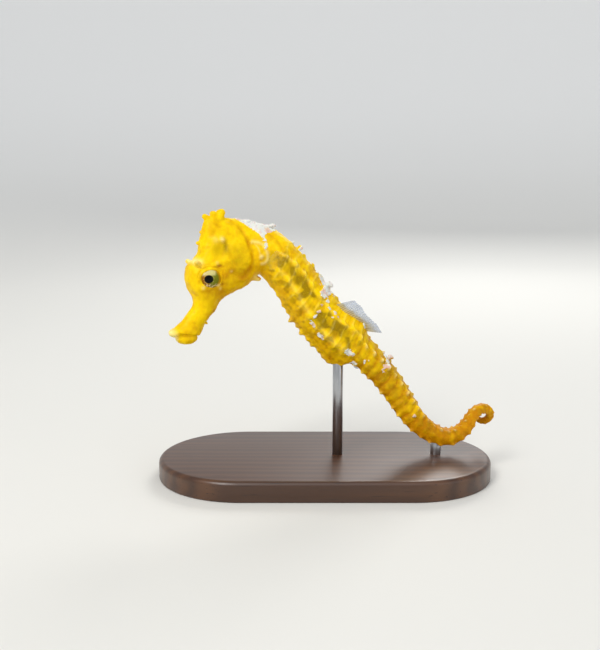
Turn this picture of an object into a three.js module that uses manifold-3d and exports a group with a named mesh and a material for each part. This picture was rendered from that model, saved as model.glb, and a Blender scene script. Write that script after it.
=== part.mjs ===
// A yellow seahorse, a female about 12 cm long along the body, held over a plain
// oblong base by two short rods.  Millimetres, +Z up.  The animal faces -X and the
// left side of its body faces -Y.  The origin is the middle of the base underside.
//
// Trunk and tail are cross-sections walked along one body line; head and snout are
// cross-sections placed in head coordinates (forward, up, side) and swung sideways
// at the neck.  Ridges run along the body, bony rings run round it, and a knob
// stands wherever a ridge crosses a ring.

import * as THREE from 'three';
import { mergeVertices } from 'three/addons/utils/BufferGeometryUtils.js';
import Module from 'manifold-3d';

const wasm = await Module();
wasm.setup();

const DEG = Math.PI / 180;
const GAP = 0.3; // clearance left between neighbouring solids

// ---------------------------------------------------------------- body line
// Stations are millimetres along the body from the back of the head.
const LINE_START = { x: -14.1, z: 56.1 };
const LINE_STEP = 0.25;
const TRUNK_START = 2;
const TAIL_TIP = 91;

// Heading above the horizontal, in degrees, in the animal's side plane.
const HEADING = [
  [0, -40], [6, -48], [13, -54], [19, -53], [25, -45], [31, -41], [36, -44], [43, -50],
  [50, -55], [54.5, -52], [58, -41], [61.5, -28], [65, -6], [68, 24], [71, 44],
  [73.5, 55], [76, 38], [79, -15], [83, -115], [87, -245], [91, -400],
];
// Swing of the line toward the animal's right, in degrees: parts the tail's coil.
const SWING = [[0, 0], [66, 0], [72, 14], [78, 24], [91, 24]];
// Roll of the body about its line: positive shows the back to the left side.
const ROLL = [[0, 14], [6, 26], [24, 28], [34, 16], [44, 8], [70, 0], [91, 0]];

// Half sizes of the bare body at each station: toward the back, toward the belly,
// to either side, and how square the section is (2 is an ellipse).
const BODY = [
  [0, 5.8, 4.8, 4, 2.3],
  [2, 5.9, 5.3, 4.1, 2.3],
  [8, 5.6, 5.5, 4.3, 2.4],
  [14, 5.4, 6.2, 4.5, 2.4],
  [20, 5.6, 6.4, 4.6, 2.4],
  [23, 5.9, 6.5, 4.5, 2.4],
  [26, 6.6, 6.7, 4.5, 2.4],
  [29, 7, 7.4, 4.3, 2.4],
  [31, 6, 6.7, 4, 2.4],
  [32.2, 4.9, 5.6, 3.8, 2.5],
  [33.6, 4.4, 3.3, 3.6, 2.7],
  [35, 4.2, 2.4, 3.4, 3],
  [40, 3.9, 2.4, 3.1, 3.2],
  [50, 3.3, 2.6, 2.8, 3.2],
  [60, 2.5, 2.4, 2.3, 3],
  [68, 1.7, 2.1, 1.9, 2.8],
  [74, 1.5, 1.5, 1.5, 2.6],
  [82, 1, 1, 1, 2.4],
  [91, 0.4, 0.4, 0.4, 2],
];

// Ring pitch along the body, and where the first ring begins.
const FIRST_RING = 0.4;
const RING_PITCH = [
  [0, 3.25], [17, 3.2], [20, 2.85], [26, 2.65], [34, 2.6], [60, 2.5], [72, 1.8], [82, 1.1], [91, 0.7],
];
// How far tailward of its place at mid-back a ring lies, by angle round the section.
const RING_SWEEP = [[0, 0], [25, 0.3], [45, 1.9], [90, 3.4], [140, 3.8], [180, 4]];
const SWEPT_HALF = 4.4; // half width of a section that takes the whole sweep
const RING_RISE = 0.2; // height of a ring over the skin between rings
const KNOB_RISE = 0.45;
const KNOB_SHARPNESS = 4;
const SHOULDER = [2, 6]; // the side ridge rises between these stations, behind the fin
const TALL_KNOBS = [1, 4, 12, 13]; // ring numbers whose knobs stand half as high again
const TALL = 1.6;

// Ridges, by angle round the section from the back, on the trunk and on the tail, with
// the stations over which each one rises out of the shoulder.
const RIDGES = [
  { trunk: 34, tail: 44, trunkRise: 0.35, tailRise: 0.3, rises: [0, 1] },
  { trunk: 84, tail: 90, trunkRise: 0.35, tailRise: 0, rises: SHOULDER },
  { trunk: 140, tail: 136, trunkRise: 0.3, tailRise: 0.25, rises: [6, 12] },
  { trunk: 180, tail: 180, trunkRise: 0.3, tailRise: 0, rises: [6, 12] },
];
const RIDGE_WIDTH = 11; // degrees
const TAIL_RIDGES = [0, 2];
const TRUNK_TO_TAIL = [30, 36]; // stations over which trunk ridges turn into tail ridges

// ------------------------------------------------------------ head stations
// Head coordinates: forward from the neck pivot, up from it, and to the side.
const PIVOT = { x: -15.75, z: 56.5 };
const HEAD_YAW = 26; // degrees, toward the left side
const YAW_FROM = -1; // the neck bends between these forward distances
const YAW_TO = 6;
const YAW_STEPS = 24; // short straight steps that follow the bend

// Each row: back or brow point (forward, up), throat point (forward, up), half
// width, where the widest level lies (share from the brow), squareness above, below.
const HEAD = [
  [3.1, 7.25, 1.7, -6.1, 4.2, 0.5, 2.1, 2.2],
  [5.7, 7.9, 2.9, -7.4, 4.5, 0.56, 1.9, 2.3],
  [8.4, 8.4, 3.9, -8.2, 4.6, 0.6, 1.7, 2.3],
  [10.9, 8.7, 5, -8.8, 4.6, 0.62, 1.6, 2.3],
  [12.9, 8.7, 5.9, -9.2, 4.5, 0.62, 1.6, 2.2],
  [14.4, 7.9, 6.7, -9.4, 4.4, 0.62, 1.7, 2.2],
  [15, 6.3, 7.2, -9.6, 4.4, 0.62, 1.8, 2.2],
  [15.4, 4.3, 7.7, -9.9, 4.3, 0.6, 1.9, 2.1],
  [15.8, 2.3, 8.3, -10.1, 4.2, 0.55, 2.1, 2.1],
  [16.1, 0.3, 8.8, -10.4, 4.2, 0.48, 2.3, 2],
  [17.5, -1.6, 9.6, -10.8, 4.2, 0.4, 2.4, 1.9],
  [19.1, -3.5, 10.3, -11.3, 4.2, 0.36, 2.4, 1.9],
  [19.3, -5.9, 11.1, -12, 4.1, 0.36, 2.3, 1.9],
  [18.95, -8, 11.6, -12.8, 3.7, 0.38, 2.2, 1.9],
];
const SNOUT = [
  [18, -10, 11.9, -13.5, 3.1, 0.42, 2.1, 2],
  [17.6, -11.9, 12.45, -14.3, 2.7, 0.46, 2, 2],
  [18.7, -13.8, 13.65, -15.6, 2.4, 0.5, 2, 2],
  [20.2, -15.7, 15, -17.35, 2.3, 0.5, 2, 2],
  [21.6, -17.1, 15.8, -19.1, 2.4, 0.5, 2.1, 2.1],
  [23.5, -18.5, 16.4, -19.8, 2.6, 0.48, 2.3, 2.3],
];
const HEAD_SIDES = 22; // points round a section of the head
const HEAD_STEPS = 1; // lofted sections between one head row and the next
// The middle of the neck, as a row of the same kind.
const NECK = [-1.9, 6.1, 0.4, -6.6, 4.4, 0.5, 2.2, 2.2];
const NECK_STEPS = 4;

// ------------------------------------------------------------ head features
const EYE = { forward: 14.4, up: -5.9, side: 2.5, long: 2.8, high: 2.75, deep: 2.35 };
const ORBIT = { side: 3.85, long: 2.8, high: 2.35, tube: 0.45 };
const GILL = { forward: 7.3, up: -1, side: 3.85, long: 4.3, high: 4.4, deep: 1.3 };
const JAW = { forward: 19.5, up: -20.3, side: 0, long: 2.75, high: 1.7, deep: 2.1 };
const JAW_PARTING = { widen: 3, square: 8 }; // the block above the jaw that trims its top
const CORONET = { forward: 12, up: 8.4, long: 2.7, wide: 1.7, high: 0.9 };
const CORONET_LOBES = [
  // forward, side, height over the coronet's foot, radius
  [14.4, 0, 0.4, 0.7],
  [12.2, 0.9, 1.1, 0.7],
  [12.2, -0.9, 1.1, 0.7],
  [10.3, 0.8, 1.3, 0.9],
  [10.3, -0.8, 1.3, 0.9],
];
const HEAD_SPINES = [
  { foot: [16.6, -3.3, 2.9], tip: [18.1, -1.7, 4.1], radius: 0.75 },
  { foot: [3.0, -6.2, 2.0], tip: [0.6, -6.9, 2.6], radius: 0.9 },
];
const SIDES = { left: 1, right: -1 };

// ------------------------------------------------------------------- fins
const FIN_THICK = 0.6;
const RIM_TAPER = 0.85; // thickness of a fin's rim as a share of its root's
const DORSAL_FIN = {
  from: 20,
  to: 31,
  // Degrees the rays lean toward the tail, then their lengths, by share of the root.
  lean: [[0, 18], [0.2, 7], [0.45, 10], [0.65, 23], [0.85, 38], [1, 54]],
  height: [[0, 4.2], [0.2, 4.4], [0.42, 3.9], [0.62, 2.8], [0.8, 2.6], [1, 3.7]],
  rays: 16,
};
const ANAL_FIN = {
  from: 34.2,
  to: 35.6,
  lean: [[0, 30], [1, 50]],
  height: [[0, 0.7], [0.5, 1.3], [1, 0.9]],
  rays: 4,
};
const PECTORAL = {
  station: 0.9, // on the body line
  angle: 78, // round the section from the back
  root: 1.9, // half height of the root
  lift: 0.95, // root over the skin
  reach: 3.6, // root to rim
  rounding: 0.12, // share by which the outermost rays fall short of that
  spread: 20, // degrees the outer rays open above and below
  flare: 16, // degrees the fin stands off the side
  rays: 10,
};

// ------------------------------------------------------------------ stand
const BASE = { long: 84, wide: 44, high: 5, bevel: 1.2, sides: 32 };
const ROD_RADIUS = 1.3;
const RODS = {
  body: { station: 26.8, sink: 2.6 },
  tail: { station: 63, sink: 1.2 },
};
const ROD_FOOT = 3; // depth of a rod's hole in the base
const ROD_SIDES = 16;

// Facets round and along each rounded part
const DETAIL = {
  eye: [12, 8],
  gill: [12, 6],
  jaw: [14, 8],
  coronet: [10, 6],
  coronetHollow: [14, 8],
  lobe: [6, 4],
  orbit: [6, 16],
  spine: 7,
};

// -------------------------------------------------------------- materials
const COLOURS = {
  skin: 0xf0b90e,
  fin: 0xd8c98a,
  eye: 0x1b1a14,
  wood: 0x4a2f1d,
  steel: 0xb9bcc0,
};

// ------------------------------------------------------------- arithmetic
// Smooth curve through [station, value] pairs that never overshoots them.
function profile(pairs, at) {
  const last = pairs.length - 1;
  const x = Math.min(Math.max(at, pairs[0][0]), pairs[last][0]);
  let i = 0;
  while (i < last - 1 && x > pairs[i + 1][0]) i += 1;
  const slope = (k) => (pairs[k + 1][1] - pairs[k][1]) / (pairs[k + 1][0] - pairs[k][0]);
  const span = (k) => pairs[k + 1][0] - pairs[k][0];
  const tangent = (k) => {
    if (k === 0) return slope(0);
    if (k === last) return slope(last - 1);
    if (slope(k - 1) * slope(k) <= 0) return 0;
    return (span(k - 1) + span(k)) / (span(k - 1) / slope(k - 1) + span(k) / slope(k));
  };
  const t = (x - pairs[i][0]) / span(i);
  const u = 1 - t;
  return (1 + 2 * t) * u * u * pairs[i][1] + t * u * u * span(i) * tangent(i)
    + t * t * (3 - 2 * t) * pairs[i + 1][1] - t * t * u * span(i) * tangent(i + 1);
}

// One column of a table of rows, read smoothly at a station.
function column(rows, index, at) {
  return profile(rows.map((row) => [row[0], row[index]]), at);
}

function smoothstep(from, to, at) {
  const t = Math.min(Math.max((at - from) / (to - from), 0), 1);
  return t * t * (3 - 2 * t);
}

function mix(a, b, share) {
  return a + (b - a) * share;
}

// ------------------------------------------------------------ closed solids
function geometryOf(points, triangles) {
  const geometry = new THREE.BufferGeometry();
  const flat = new Float32Array(points.flatMap((p) => [p.x, p.y, p.z]));
  geometry.setAttribute('position', new THREE.BufferAttribute(flat, 3));
  geometry.setIndex(triangles);
  return geometry;
}

function volumeOf(points, triangles) {
  let sum = 0;
  for (let i = 0; i < triangles.length; i += 3) {
    const [a, b, c] = [0, 1, 2].map((k) => points[triangles[i + k]]);
    sum += a.dot(new THREE.Vector3().crossVectors(b, c)) / 6;
  }
  return sum;
}

// Skin a run of rings of equal count and close both ends.
function loft(rings) {
  const count = rings[0].length;
  const points = rings.flat();
  const triangles = [];
  for (let r = 0; r < rings.length - 1; r += 1) {
    for (let k = 0; k < count; k += 1) {
      const a = r * count + k;
      const b = r * count + ((k + 1) % count);
      triangles.push(a, b, b + count, a, b + count, a + count);
    }
  }
  for (const [ring, flip] of [[0, true], [rings.length - 1, false]]) {
    const middle = new THREE.Vector3();
    rings[ring].forEach((p) => middle.addScaledVector(p, 1 / count));
    const hub = points.push(middle) - 1;
    for (let k = 0; k < count; k += 1) {
      const a = ring * count + k;
      const b = ring * count + ((k + 1) % count);
      triangles.push(hub, flip ? b : a, flip ? a : b);
    }
  }
  if (volumeOf(points, triangles) < 0) {
    for (let i = 0; i < triangles.length; i += 3) {
      [triangles[i], triangles[i + 1]] = [triangles[i + 1], triangles[i]];
    }
  }
  return geometryOf(points, triangles);
}

function toManifold(geometry) {
  const bare = geometry.clone();
  bare.deleteAttribute('normal');
  bare.deleteAttribute('uv');
  const merged = mergeVertices(bare, 1e-4);
  return new wasm.Manifold(new wasm.Mesh({
    numProp: 3,
    vertProperties: new Float32Array(merged.attributes.position.array),
    triVerts: new Uint32Array(merged.index.array),
  }));
}

function fromManifold(solid) {
  const mesh = solid.getMesh();
  const geometry = new THREE.BufferGeometry();
  geometry.setAttribute('position', new THREE.BufferAttribute(new Float32Array(mesh.vertProperties), 3));
  geometry.setIndex(Array.from(mesh.triVerts));
  return geometry;
}

function cut(geometry, ...tools) {
  return fromManifold(tools.reduce((solid, tool) => solid.subtract(toManifold(tool)), toManifold(geometry)));
}

function join(geometry, ...others) {
  return fromManifold(others.reduce((solid, other) => solid.add(toManifold(other)), toManifold(geometry)));
}

// -------------------------------------------------------------- body frame
function directionsAt(station) {
  const heading = profile(HEADING, station) * DEG;
  const swing = profile(SWING, station) * DEG;
  const roll = profile(ROLL, station) * DEG;
  const forward = new THREE.Vector3(
    Math.cos(heading) * Math.cos(swing),
    Math.sin(swing),
    Math.sin(heading) * Math.cos(swing),
  );
  const upright = new THREE.Vector3(-Math.sin(heading), 0, Math.cos(heading));
  const across = new THREE.Vector3().crossVectors(forward, upright);
  const back = upright.clone().multiplyScalar(Math.cos(roll)).addScaledVector(across, Math.sin(roll));
  const left = new THREE.Vector3().crossVectors(forward, back);
  return { forward, back, left };
}

const LINE = [new THREE.Vector3(LINE_START.x, 0, LINE_START.z)];
for (let k = 0; k < (TAIL_TIP + 1) / LINE_STEP; k += 1) {
  const { forward } = directionsAt((k + 0.5) * LINE_STEP);
  LINE.push(LINE[k].clone().addScaledVector(forward, LINE_STEP));
}

function frameAt(station) {
  const at = station / LINE_STEP;
  const k = Math.min(Math.floor(at), LINE.length - 2);
  const origin = LINE[k].clone().lerp(LINE[k + 1], at - k);
  return { origin, ...directionsAt(station) };
}

// ------------------------------------------------------------ body surface
// Rings counted along the body; the fraction is the place within a ring.
const RING_EDGES = [FIRST_RING];
while (RING_EDGES[RING_EDGES.length - 1] < TAIL_TIP) {
  const edge = RING_EDGES[RING_EDGES.length - 1];
  RING_EDGES.push(edge + profile(RING_PITCH, edge));
}

function ringAt(station) {
  let number = 0;
  while (number < RING_EDGES.length - 2 && station >= RING_EDGES[number + 1]) number += 1;
  const width = RING_EDGES[number + 1] - RING_EDGES[number];
  const phase = Math.min(Math.max((station - RING_EDGES[number]) / width, 0), 1);
  return { number, phase };
}

// How far tailward of the station at mid-back its ring lies, at an angle from the back.
function sweepAt(station, angle) {
  return profile(RING_SWEEP, Math.abs(angle)) * Math.min(1, column(BODY, 3, station) / SWEPT_HALF);
}

function ridgeAngle(ridge, station) {
  return mix(ridge.trunk, ridge.tail, smoothstep(...TRUNK_TO_TAIL, station));
}

// How far the skin stands off the bare section, at an angle from the back.
function relief(station, angle) {
  const { number, phase } = ringAt(station - sweepAt(station, angle));
  const band = 0.5 - 0.5 * Math.cos(2 * Math.PI * phase);
  const size = Math.min(1, column(BODY, 3, station) / 3);
  const tall = TALL_KNOBS.includes(number) ? TALL : 1;
  const tailShare = smoothstep(...TRUNK_TO_TAIL, station);
  let rise = RING_RISE * band;
  for (const ridge of RIDGES) {
    const onset = smoothstep(...ridge.rises, station);
    const height = onset * mix(ridge.trunkRise, ridge.tailRise, tailShare);
    const off = (Math.abs(angle) - ridgeAngle(ridge, station)) / RIDGE_WIDTH;
    const presence = height / Math.max(ridge.trunkRise, ridge.tailRise);
    rise += Math.exp(-off * off) * (height + KNOB_RISE * presence * tall * band ** KNOB_SHARPNESS);
  }
  return rise * size;
}

// A point round a section; the angle runs from the back, positive to the left.
function sectionOffset(shape, angle) {
  const up = Math.cos(angle * DEG);
  const side = Math.sin(angle * DEG);
  const power = 2 / (up > 0 ? shape.squareAbove : shape.squareBelow);
  const depth = up > 0 ? shape.above : shape.below;
  return {
    rise: Math.sign(up) * depth * Math.abs(up) ** power,
    side: Math.sign(side) * shape.half * Math.abs(side) ** power,
  };
}

function bodyPoint(station, angle) {
  const { origin, back, left } = frameAt(station);
  const square = column(BODY, 4, station);
  const shape = {
    above: column(BODY, 1, station),
    below: column(BODY, 2, station),
    half: column(BODY, 3, station),
    squareAbove: square,
    squareBelow: square,
  };
  const offset = sectionOffset(shape, angle);
  const reach = Math.hypot(offset.rise, offset.side);
  const grown = (reach + relief(station, angle)) / reach;
  return origin.addScaledVector(back, offset.rise * grown).addScaledVector(left, offset.side * grown);
}

// Angles at which a section is drawn: each ridge, its two flanks, and the valleys.
function sectionAngles(station, ridges) {
  const half = [0];
  const flank = RIDGE_WIDTH * 1.2;
  let previous = 0;
  for (const ridge of ridges) {
    const angle = ridgeAngle(ridge, station);
    if (previous > 0) half.push((previous + angle) / 2);
    if (angle < 180) half.push(angle - flank, angle, angle + flank);
    previous = angle;
  }
  if (previous < 180) half.push((previous + 180) / 2);
  const inner = half.slice(1);
  return [...half, 180, ...inner.reverse().map((angle) => -angle)];
}

function bodyRing(station, ridges) {
  return sectionAngles(station, ridges).map((angle) => (
    bodyPoint(station + sweepAt(station, angle), angle)
  ));
}

// Stations of a length of body: its two ends and the turns of every ring between.
function bodyStations(from, to, phases) {
  const stations = [from];
  for (let ring = 0; ring < RING_EDGES.length - 1; ring += 1) {
    for (const phase of phases) {
      const station = mix(RING_EDGES[ring], RING_EDGES[ring + 1], phase);
      if (station > from + GAP && station < to - GAP) stations.push(station);
    }
  }
  stations.push(to);
  return stations;
}

const TAIL_ONLY = TAIL_RIDGES.map((index) => RIDGES[index]);
const TRUNK_PHASES = [0, 0.3, 0.5, 0.7];
const TAIL_PHASES = [0, 0.5];
const TIP_PHASES = [0.5];

function bodyLength(from, to, ridges, phases) {
  return loft(bodyStations(from, to, phases).map((station) => bodyRing(station, ridges)));
}

// -------------------------------------------------------------- head frame
// Head coordinates to millimetres in space: the neck swings the head sideways.
function headPoint(forward, up, side) {
  const point = new THREE.Vector3(PIVOT.x, 0, PIVOT.z + up);
  for (let k = 0; k < YAW_STEPS; k += 1) {
    const yaw = HEAD_YAW * DEG * smoothstep(YAW_FROM, YAW_TO, (forward * (k + 0.5)) / YAW_STEPS);
    point.x -= (Math.cos(yaw) * forward) / YAW_STEPS;
    point.y -= (Math.sin(yaw) * forward) / YAW_STEPS;
  }
  const yaw = HEAD_YAW * DEG * smoothstep(YAW_FROM, YAW_TO, forward);
  point.x += Math.sin(yaw) * side;
  point.y -= Math.cos(yaw) * side;
  return point;
}

function headRing(row, angles) {
  const [browForward, browUp, throatForward, throatUp, half, level, squareAbove, squareBelow] = row;
  const depth = Math.hypot(browForward - throatForward, browUp - throatUp);
  const shape = { above: depth * level, below: depth * (1 - level), half, squareAbove, squareBelow };
  const middle = [mix(browForward, throatForward, level), mix(browUp, throatUp, level)];
  const toBrow = [(browForward - throatForward) / depth, (browUp - throatUp) / depth];
  return angles.map((angle) => {
    const { rise, side } = sectionOffset(shape, angle);
    return headPoint(middle[0] + toBrow[0] * rise, middle[1] + toBrow[1] * rise, side);
  });
}

// Rows refined to a smooth run: every column follows its own curve.
function smoothRows(rows, steps) {
  const columns = rows[0].map((_, c) => rows.map((row, r) => [r, row[c]]));
  const fine = [];
  for (let k = 0; k <= (rows.length - 1) * steps; k += 1) {
    fine.push(columns.map((pairs) => profile(pairs, k / steps)));
  }
  return fine;
}

// A row moved forward or back along the head, to leave a gap at a parting.
function shiftRow(row, next, distance) {
  const span = Math.hypot(next[0] - row[0], next[1] - row[1], next[2] - row[2], next[3] - row[3]);
  return row.map((value, c) => mix(value, next[c], distance / span));
}

const HEAD_ANGLES = [];
for (let k = 0; k < HEAD_SIDES; k += 1) {
  const angle = (k * 360) / HEAD_SIDES;
  HEAD_ANGLES.push(angle > 180 ? angle - 360 : angle);
}

// An ellipsoid in head coordinates, with its short axis across the head.
function headEllipsoid({ forward, up, side, long, high, deep }, sign, grow, detail) {
  const [around, tall] = detail;
  const geometry = new THREE.SphereGeometry(1, around, tall);
  geometry.rotateX(Math.PI / 2);
  const place = geometry.attributes.position;
  for (let k = 0; k < place.count; k += 1) {
    const point = headPoint(
      forward + place.getX(k) * (long + grow),
      up + place.getY(k) * (high + grow),
      sign * side + place.getZ(k) * (deep + grow),
    );
    place.setXYZ(k, point.x, point.y, point.z);
  }
  return facingOut(geometry);
}

// Mirror-safe: turns every triangle over if the body came out inside out.
function facingOut(geometry) {
  const bare = geometry.clone();
  bare.deleteAttribute('normal');
  bare.deleteAttribute('uv');
  const merged = mergeVertices(bare, 1e-4);
  const place = merged.attributes.position;
  const points = [];
  for (let k = 0; k < place.count; k += 1) points.push(new THREE.Vector3().fromBufferAttribute(place, k));
  const whole = [];
  const index = merged.index.array;
  for (let i = 0; i < index.length; i += 3) {
    const corners = [index[i], index[i + 1], index[i + 2]];
    if (new Set(corners).size === 3) whole.push(...corners);
  }
  if (volumeOf(points, whole) < 0) {
    for (let i = 0; i < whole.length; i += 3) [whole[i], whole[i + 1]] = [whole[i + 1], whole[i]];
  }
  return geometryOf(points, whole);
}

function orbitRing(sign) {
  const geometry = new THREE.TorusGeometry(1, ORBIT.tube / ORBIT.long, ...DETAIL.orbit);
  const place = geometry.attributes.position;
  for (let k = 0; k < place.count; k += 1) {
    const point = headPoint(
      EYE.forward + place.getX(k) * ORBIT.long,
      EYE.up + place.getY(k) * ORBIT.high,
      sign * (ORBIT.side + place.getZ(k) * ORBIT.long),
    );
    place.setXYZ(k, point.x, point.y, point.z);
  }
  return facingOut(geometry);
}

// A small cone between two points, sunk at its foot so that it joins what it meets.
function spine(foot, tip, radius) {
  const along = tip.clone().sub(foot);
  const geometry = new THREE.ConeGeometry(radius, along.length(), DETAIL.spine);
  geometry.translate(0, along.length() / 2, 0);
  const turn = new THREE.Quaternion().setFromUnitVectors(new THREE.Vector3(0, 1, 0), along.normalize());
  geometry.applyQuaternion(turn);
  geometry.translate(foot.x, foot.y, foot.z);
  return geometry;
}

function headSpine({ foot, tip, radius }, sign) {
  return spine(
    headPoint(foot[0], foot[1], sign * foot[2]),
    headPoint(tip[0], tip[1], sign * tip[2]),
    radius,
  );
}

// --------------------------------------------------------------- the nodes
const group = new THREE.Group();
group.name = 'seahorse';

function addNode(name, geometry, colour) {
  const material = new THREE.MeshStandardMaterial({ name: `${name}_surface`, color: COLOURS[colour] });
  if (colour === 'steel') material.metalness = 1;
  const finished = geometry.index ? geometry.toNonIndexed() : geometry;
  finished.computeVertexNormals();
  const mesh = new THREE.Mesh(finished, material);
  mesh.name = name;
  group.add(mesh);
}

// --- head, with eye sockets, gill hollows and a flat for the coronet
const headRows = smoothRows(HEAD, HEAD_STEPS);
const snoutRows = smoothRows([HEAD[HEAD.length - 1], ...SNOUT], HEAD_STEPS);
const snoutRoot = shiftRow(snoutRows[0], snoutRows[1], 2 * GAP);
let head = loft(headRows.map((row) => headRing(row, HEAD_ANGLES)));
for (const sign of Object.values(SIDES)) {
  head = join(head, orbitRing(sign), ...HEAD_SPINES.map((one) => headSpine(one, sign)));
}

const coronetHollow = headEllipsoid(
  { ...CORONET, side: 0, deep: CORONET.wide },
  1,
  GAP,
  DETAIL.coronetHollow,
);
head = cut(head, coronetHollow);
for (const sign of Object.values(SIDES)) {
  head = cut(
    head,
    headEllipsoid(EYE, sign, GAP, DETAIL.eye),
    headEllipsoid(GILL, sign, GAP, DETAIL.gill),
  );
}
addNode('head', head, 'skin');

// --- snout and lower jaw
addNode('snout', loft([snoutRoot, ...snoutRows.slice(1)].map((row) => headRing(row, HEAD_ANGLES))), 'skin');
const mouth = SNOUT[SNOUT.length - 1];
const chinLine = shiftRow(mouth, snoutRows[snoutRows.length - 2], -GAP);
const { widen, square } = JAW_PARTING;
const aboveJaw = loft([snoutRows[2], chinLine].map((row) => headRing(
  [...row.slice(0, 4), row[4] * widen, row[5], square, square],
  HEAD_ANGLES,
)));
addNode('lower_jaw', cut(headEllipsoid(JAW, 1, 0, DETAIL.jaw), aboveJaw), 'skin');

// --- coronet
const crownFoot = headEllipsoid(
  { ...CORONET, side: 0, deep: CORONET.wide },
  1,
  0,
  DETAIL.coronet,
);
const lobes = CORONET_LOBES.map(([forward, side, height, radius]) => headEllipsoid(
  { forward, up: CORONET.up + height / 2, side, long: radius, high: radius + height / 2, deep: radius },
  1,
  0,
  DETAIL.lobe,
));
addNode('coronet', join(crownFoot, ...lobes), 'skin');

// --- eyes and gill covers
for (const [name, sign] of Object.entries(SIDES)) {
  addNode(`eye_${name}`, headEllipsoid(EYE, sign, 0, DETAIL.eye), 'eye');
  addNode(`gill_cover_${name}`, headEllipsoid(GILL, sign, 0, DETAIL.gill), 'skin');
}

// --- neck: blends the last head section into the first trunk section
const neckAngles = sectionAngles(TRUNK_START, RIDGES);
const neckFront = headRing(shiftRow(HEAD[0], HEAD[1], -GAP), neckAngles);
const neckBack = bodyRing(TRUNK_START - GAP, RIDGES);
const neckMiddle = headRing(NECK, neckAngles);
const neckRings = [];
for (let k = 0; k <= NECK_STEPS; k += 1) {
  const share = k / NECK_STEPS;
  neckRings.push(neckMiddle.map((middle, i) => {
    const chord = neckFront[i].clone().lerp(neckBack[i], 0.5);
    const bow = middle.clone().sub(chord).multiplyScalar(4 * share * (1 - share));
    return neckFront[i].clone().lerp(neckBack[i], share).add(bow);
  }));
}
addNode('neck', loft(neckRings), 'skin');

// --- rods and the holes they stand in
function rodColumn(x, bottom, top, radius) {
  const geometry = new THREE.CylinderGeometry(radius, radius, top - bottom, ROD_SIDES);
  geometry.rotateX(Math.PI / 2);
  geometry.translate(x, 0, (top + bottom) / 2);
  return geometry;
}

function rodPlace({ station, sink }) {
  const under = bodyPoint(station, 180);
  return { x: frameAt(station).origin.x, top: under.z + sink };
}

// --- trunk and tail, parted at ring edges
function ringEdge(number) {
  return RING_EDGES[number];
}
const LENGTHS = [
  { name: 'trunk_upper', from: TRUNK_START, to: ringEdge(4), ridges: RIDGES, phases: TRUNK_PHASES },
  { name: 'trunk_middle', from: ringEdge(4), to: ringEdge(8), ridges: RIDGES, phases: TRUNK_PHASES },
  { name: 'trunk_lower', from: ringEdge(8), to: ringEdge(12), ridges: RIDGES, phases: TRUNK_PHASES },
  { name: 'tail_base', from: ringEdge(12), to: ringEdge(16), ridges: TAIL_ONLY, phases: TAIL_PHASES },
  { name: 'tail_upper', from: ringEdge(16), to: ringEdge(20), ridges: TAIL_ONLY, phases: TAIL_PHASES },
  { name: 'tail_middle', from: ringEdge(20), to: ringEdge(24), ridges: TAIL_ONLY, phases: TAIL_PHASES },
  { name: 'tail_bend', from: ringEdge(24), to: ringEdge(29), ridges: TAIL_ONLY, phases: TAIL_PHASES },
  { name: 'tail_curl', from: ringEdge(29), to: TAIL_TIP, ridges: TAIL_ONLY, phases: TIP_PHASES },
];
for (const { name, from, to, ridges, phases } of LENGTHS) {
  const ends = [from === TRUNK_START ? from : from + GAP / 2, to === TAIL_TIP ? to : to - GAP / 2];
  let solid = bodyLength(...ends, ridges, phases);
  for (const rod of Object.values(RODS)) {
    const { x, top } = rodPlace(rod);
    solid = cut(solid, rodColumn(x, BASE.high, top + GAP, ROD_RADIUS + GAP));
  }
  addNode(name, solid, 'skin');
}

// --- fins
// A thin fan of rays: each ray runs from its root to its rim; both faces are
// parted by the fin's thickness.
function finPlate(roots, rims, across) {
  const half = FIN_THICK / 2;
  const rings = roots.map((root, k) => {
    const side = across[k].clone().multiplyScalar(half);
    const thin = side.clone().multiplyScalar(RIM_TAPER);
    return [
      root.clone().add(side),
      root.clone().sub(side),
      rims[k].clone().sub(thin),
      rims[k].clone().add(thin),
    ];
  });
  return loft(rings);
}

function medianFin({ from, to, lean, height, rays }, onBack) {
  const roots = [];
  const rims = [];
  const across = [];
  for (let k = 0; k <= rays; k += 1) {
    const share = k / rays;
    const station = mix(from, to, share);
    const { forward, back, left } = frameAt(station);
    const outward = back.clone().multiplyScalar(onBack ? 1 : -1);
    const angle = profile(lean, share) * DEG;
    const surface = bodyPoint(station, onBack ? 0 : 180);
    const root = surface.addScaledVector(outward, GAP);
    const ray = outward.clone().multiplyScalar(Math.cos(angle)).addScaledVector(forward, Math.sin(angle));
    roots.push(root);
    rims.push(root.clone().addScaledVector(ray, profile(height, share)));
    across.push(left);
  }
  return finPlate(roots, rims, across);
}

function pectoralFin(sign) {
  const { station, angle, root, lift, reach, rounding, spread, flare, rays } = PECTORAL;
  const { forward, back, left } = frameAt(station);
  const out = left.clone().multiplyScalar(sign);
  const foot = bodyPoint(station, sign * angle).addScaledVector(out, lift);
  const facing = out.clone().multiplyScalar(Math.cos(flare * DEG));
  facing.addScaledVector(forward, -Math.sin(flare * DEG));
  const roots = [];
  const rims = [];
  const across = [];
  for (let k = 0; k <= rays; k += 1) {
    const place = (2 * k) / rays - 1;
    const fan = place * spread * DEG;
    const ray = forward.clone().multiplyScalar(Math.cos(fan)).addScaledVector(back, Math.sin(fan));
    ray.multiplyScalar(Math.cos(flare * DEG)).addScaledVector(out, Math.sin(flare * DEG));
    const rootPoint = foot.clone().addScaledVector(back, place * root);
    roots.push(rootPoint);
    rims.push(rootPoint.clone().addScaledVector(ray, reach * (1 - rounding * place * place)));
    across.push(facing);
  }
  return finPlate(roots, rims, across);
}

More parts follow.
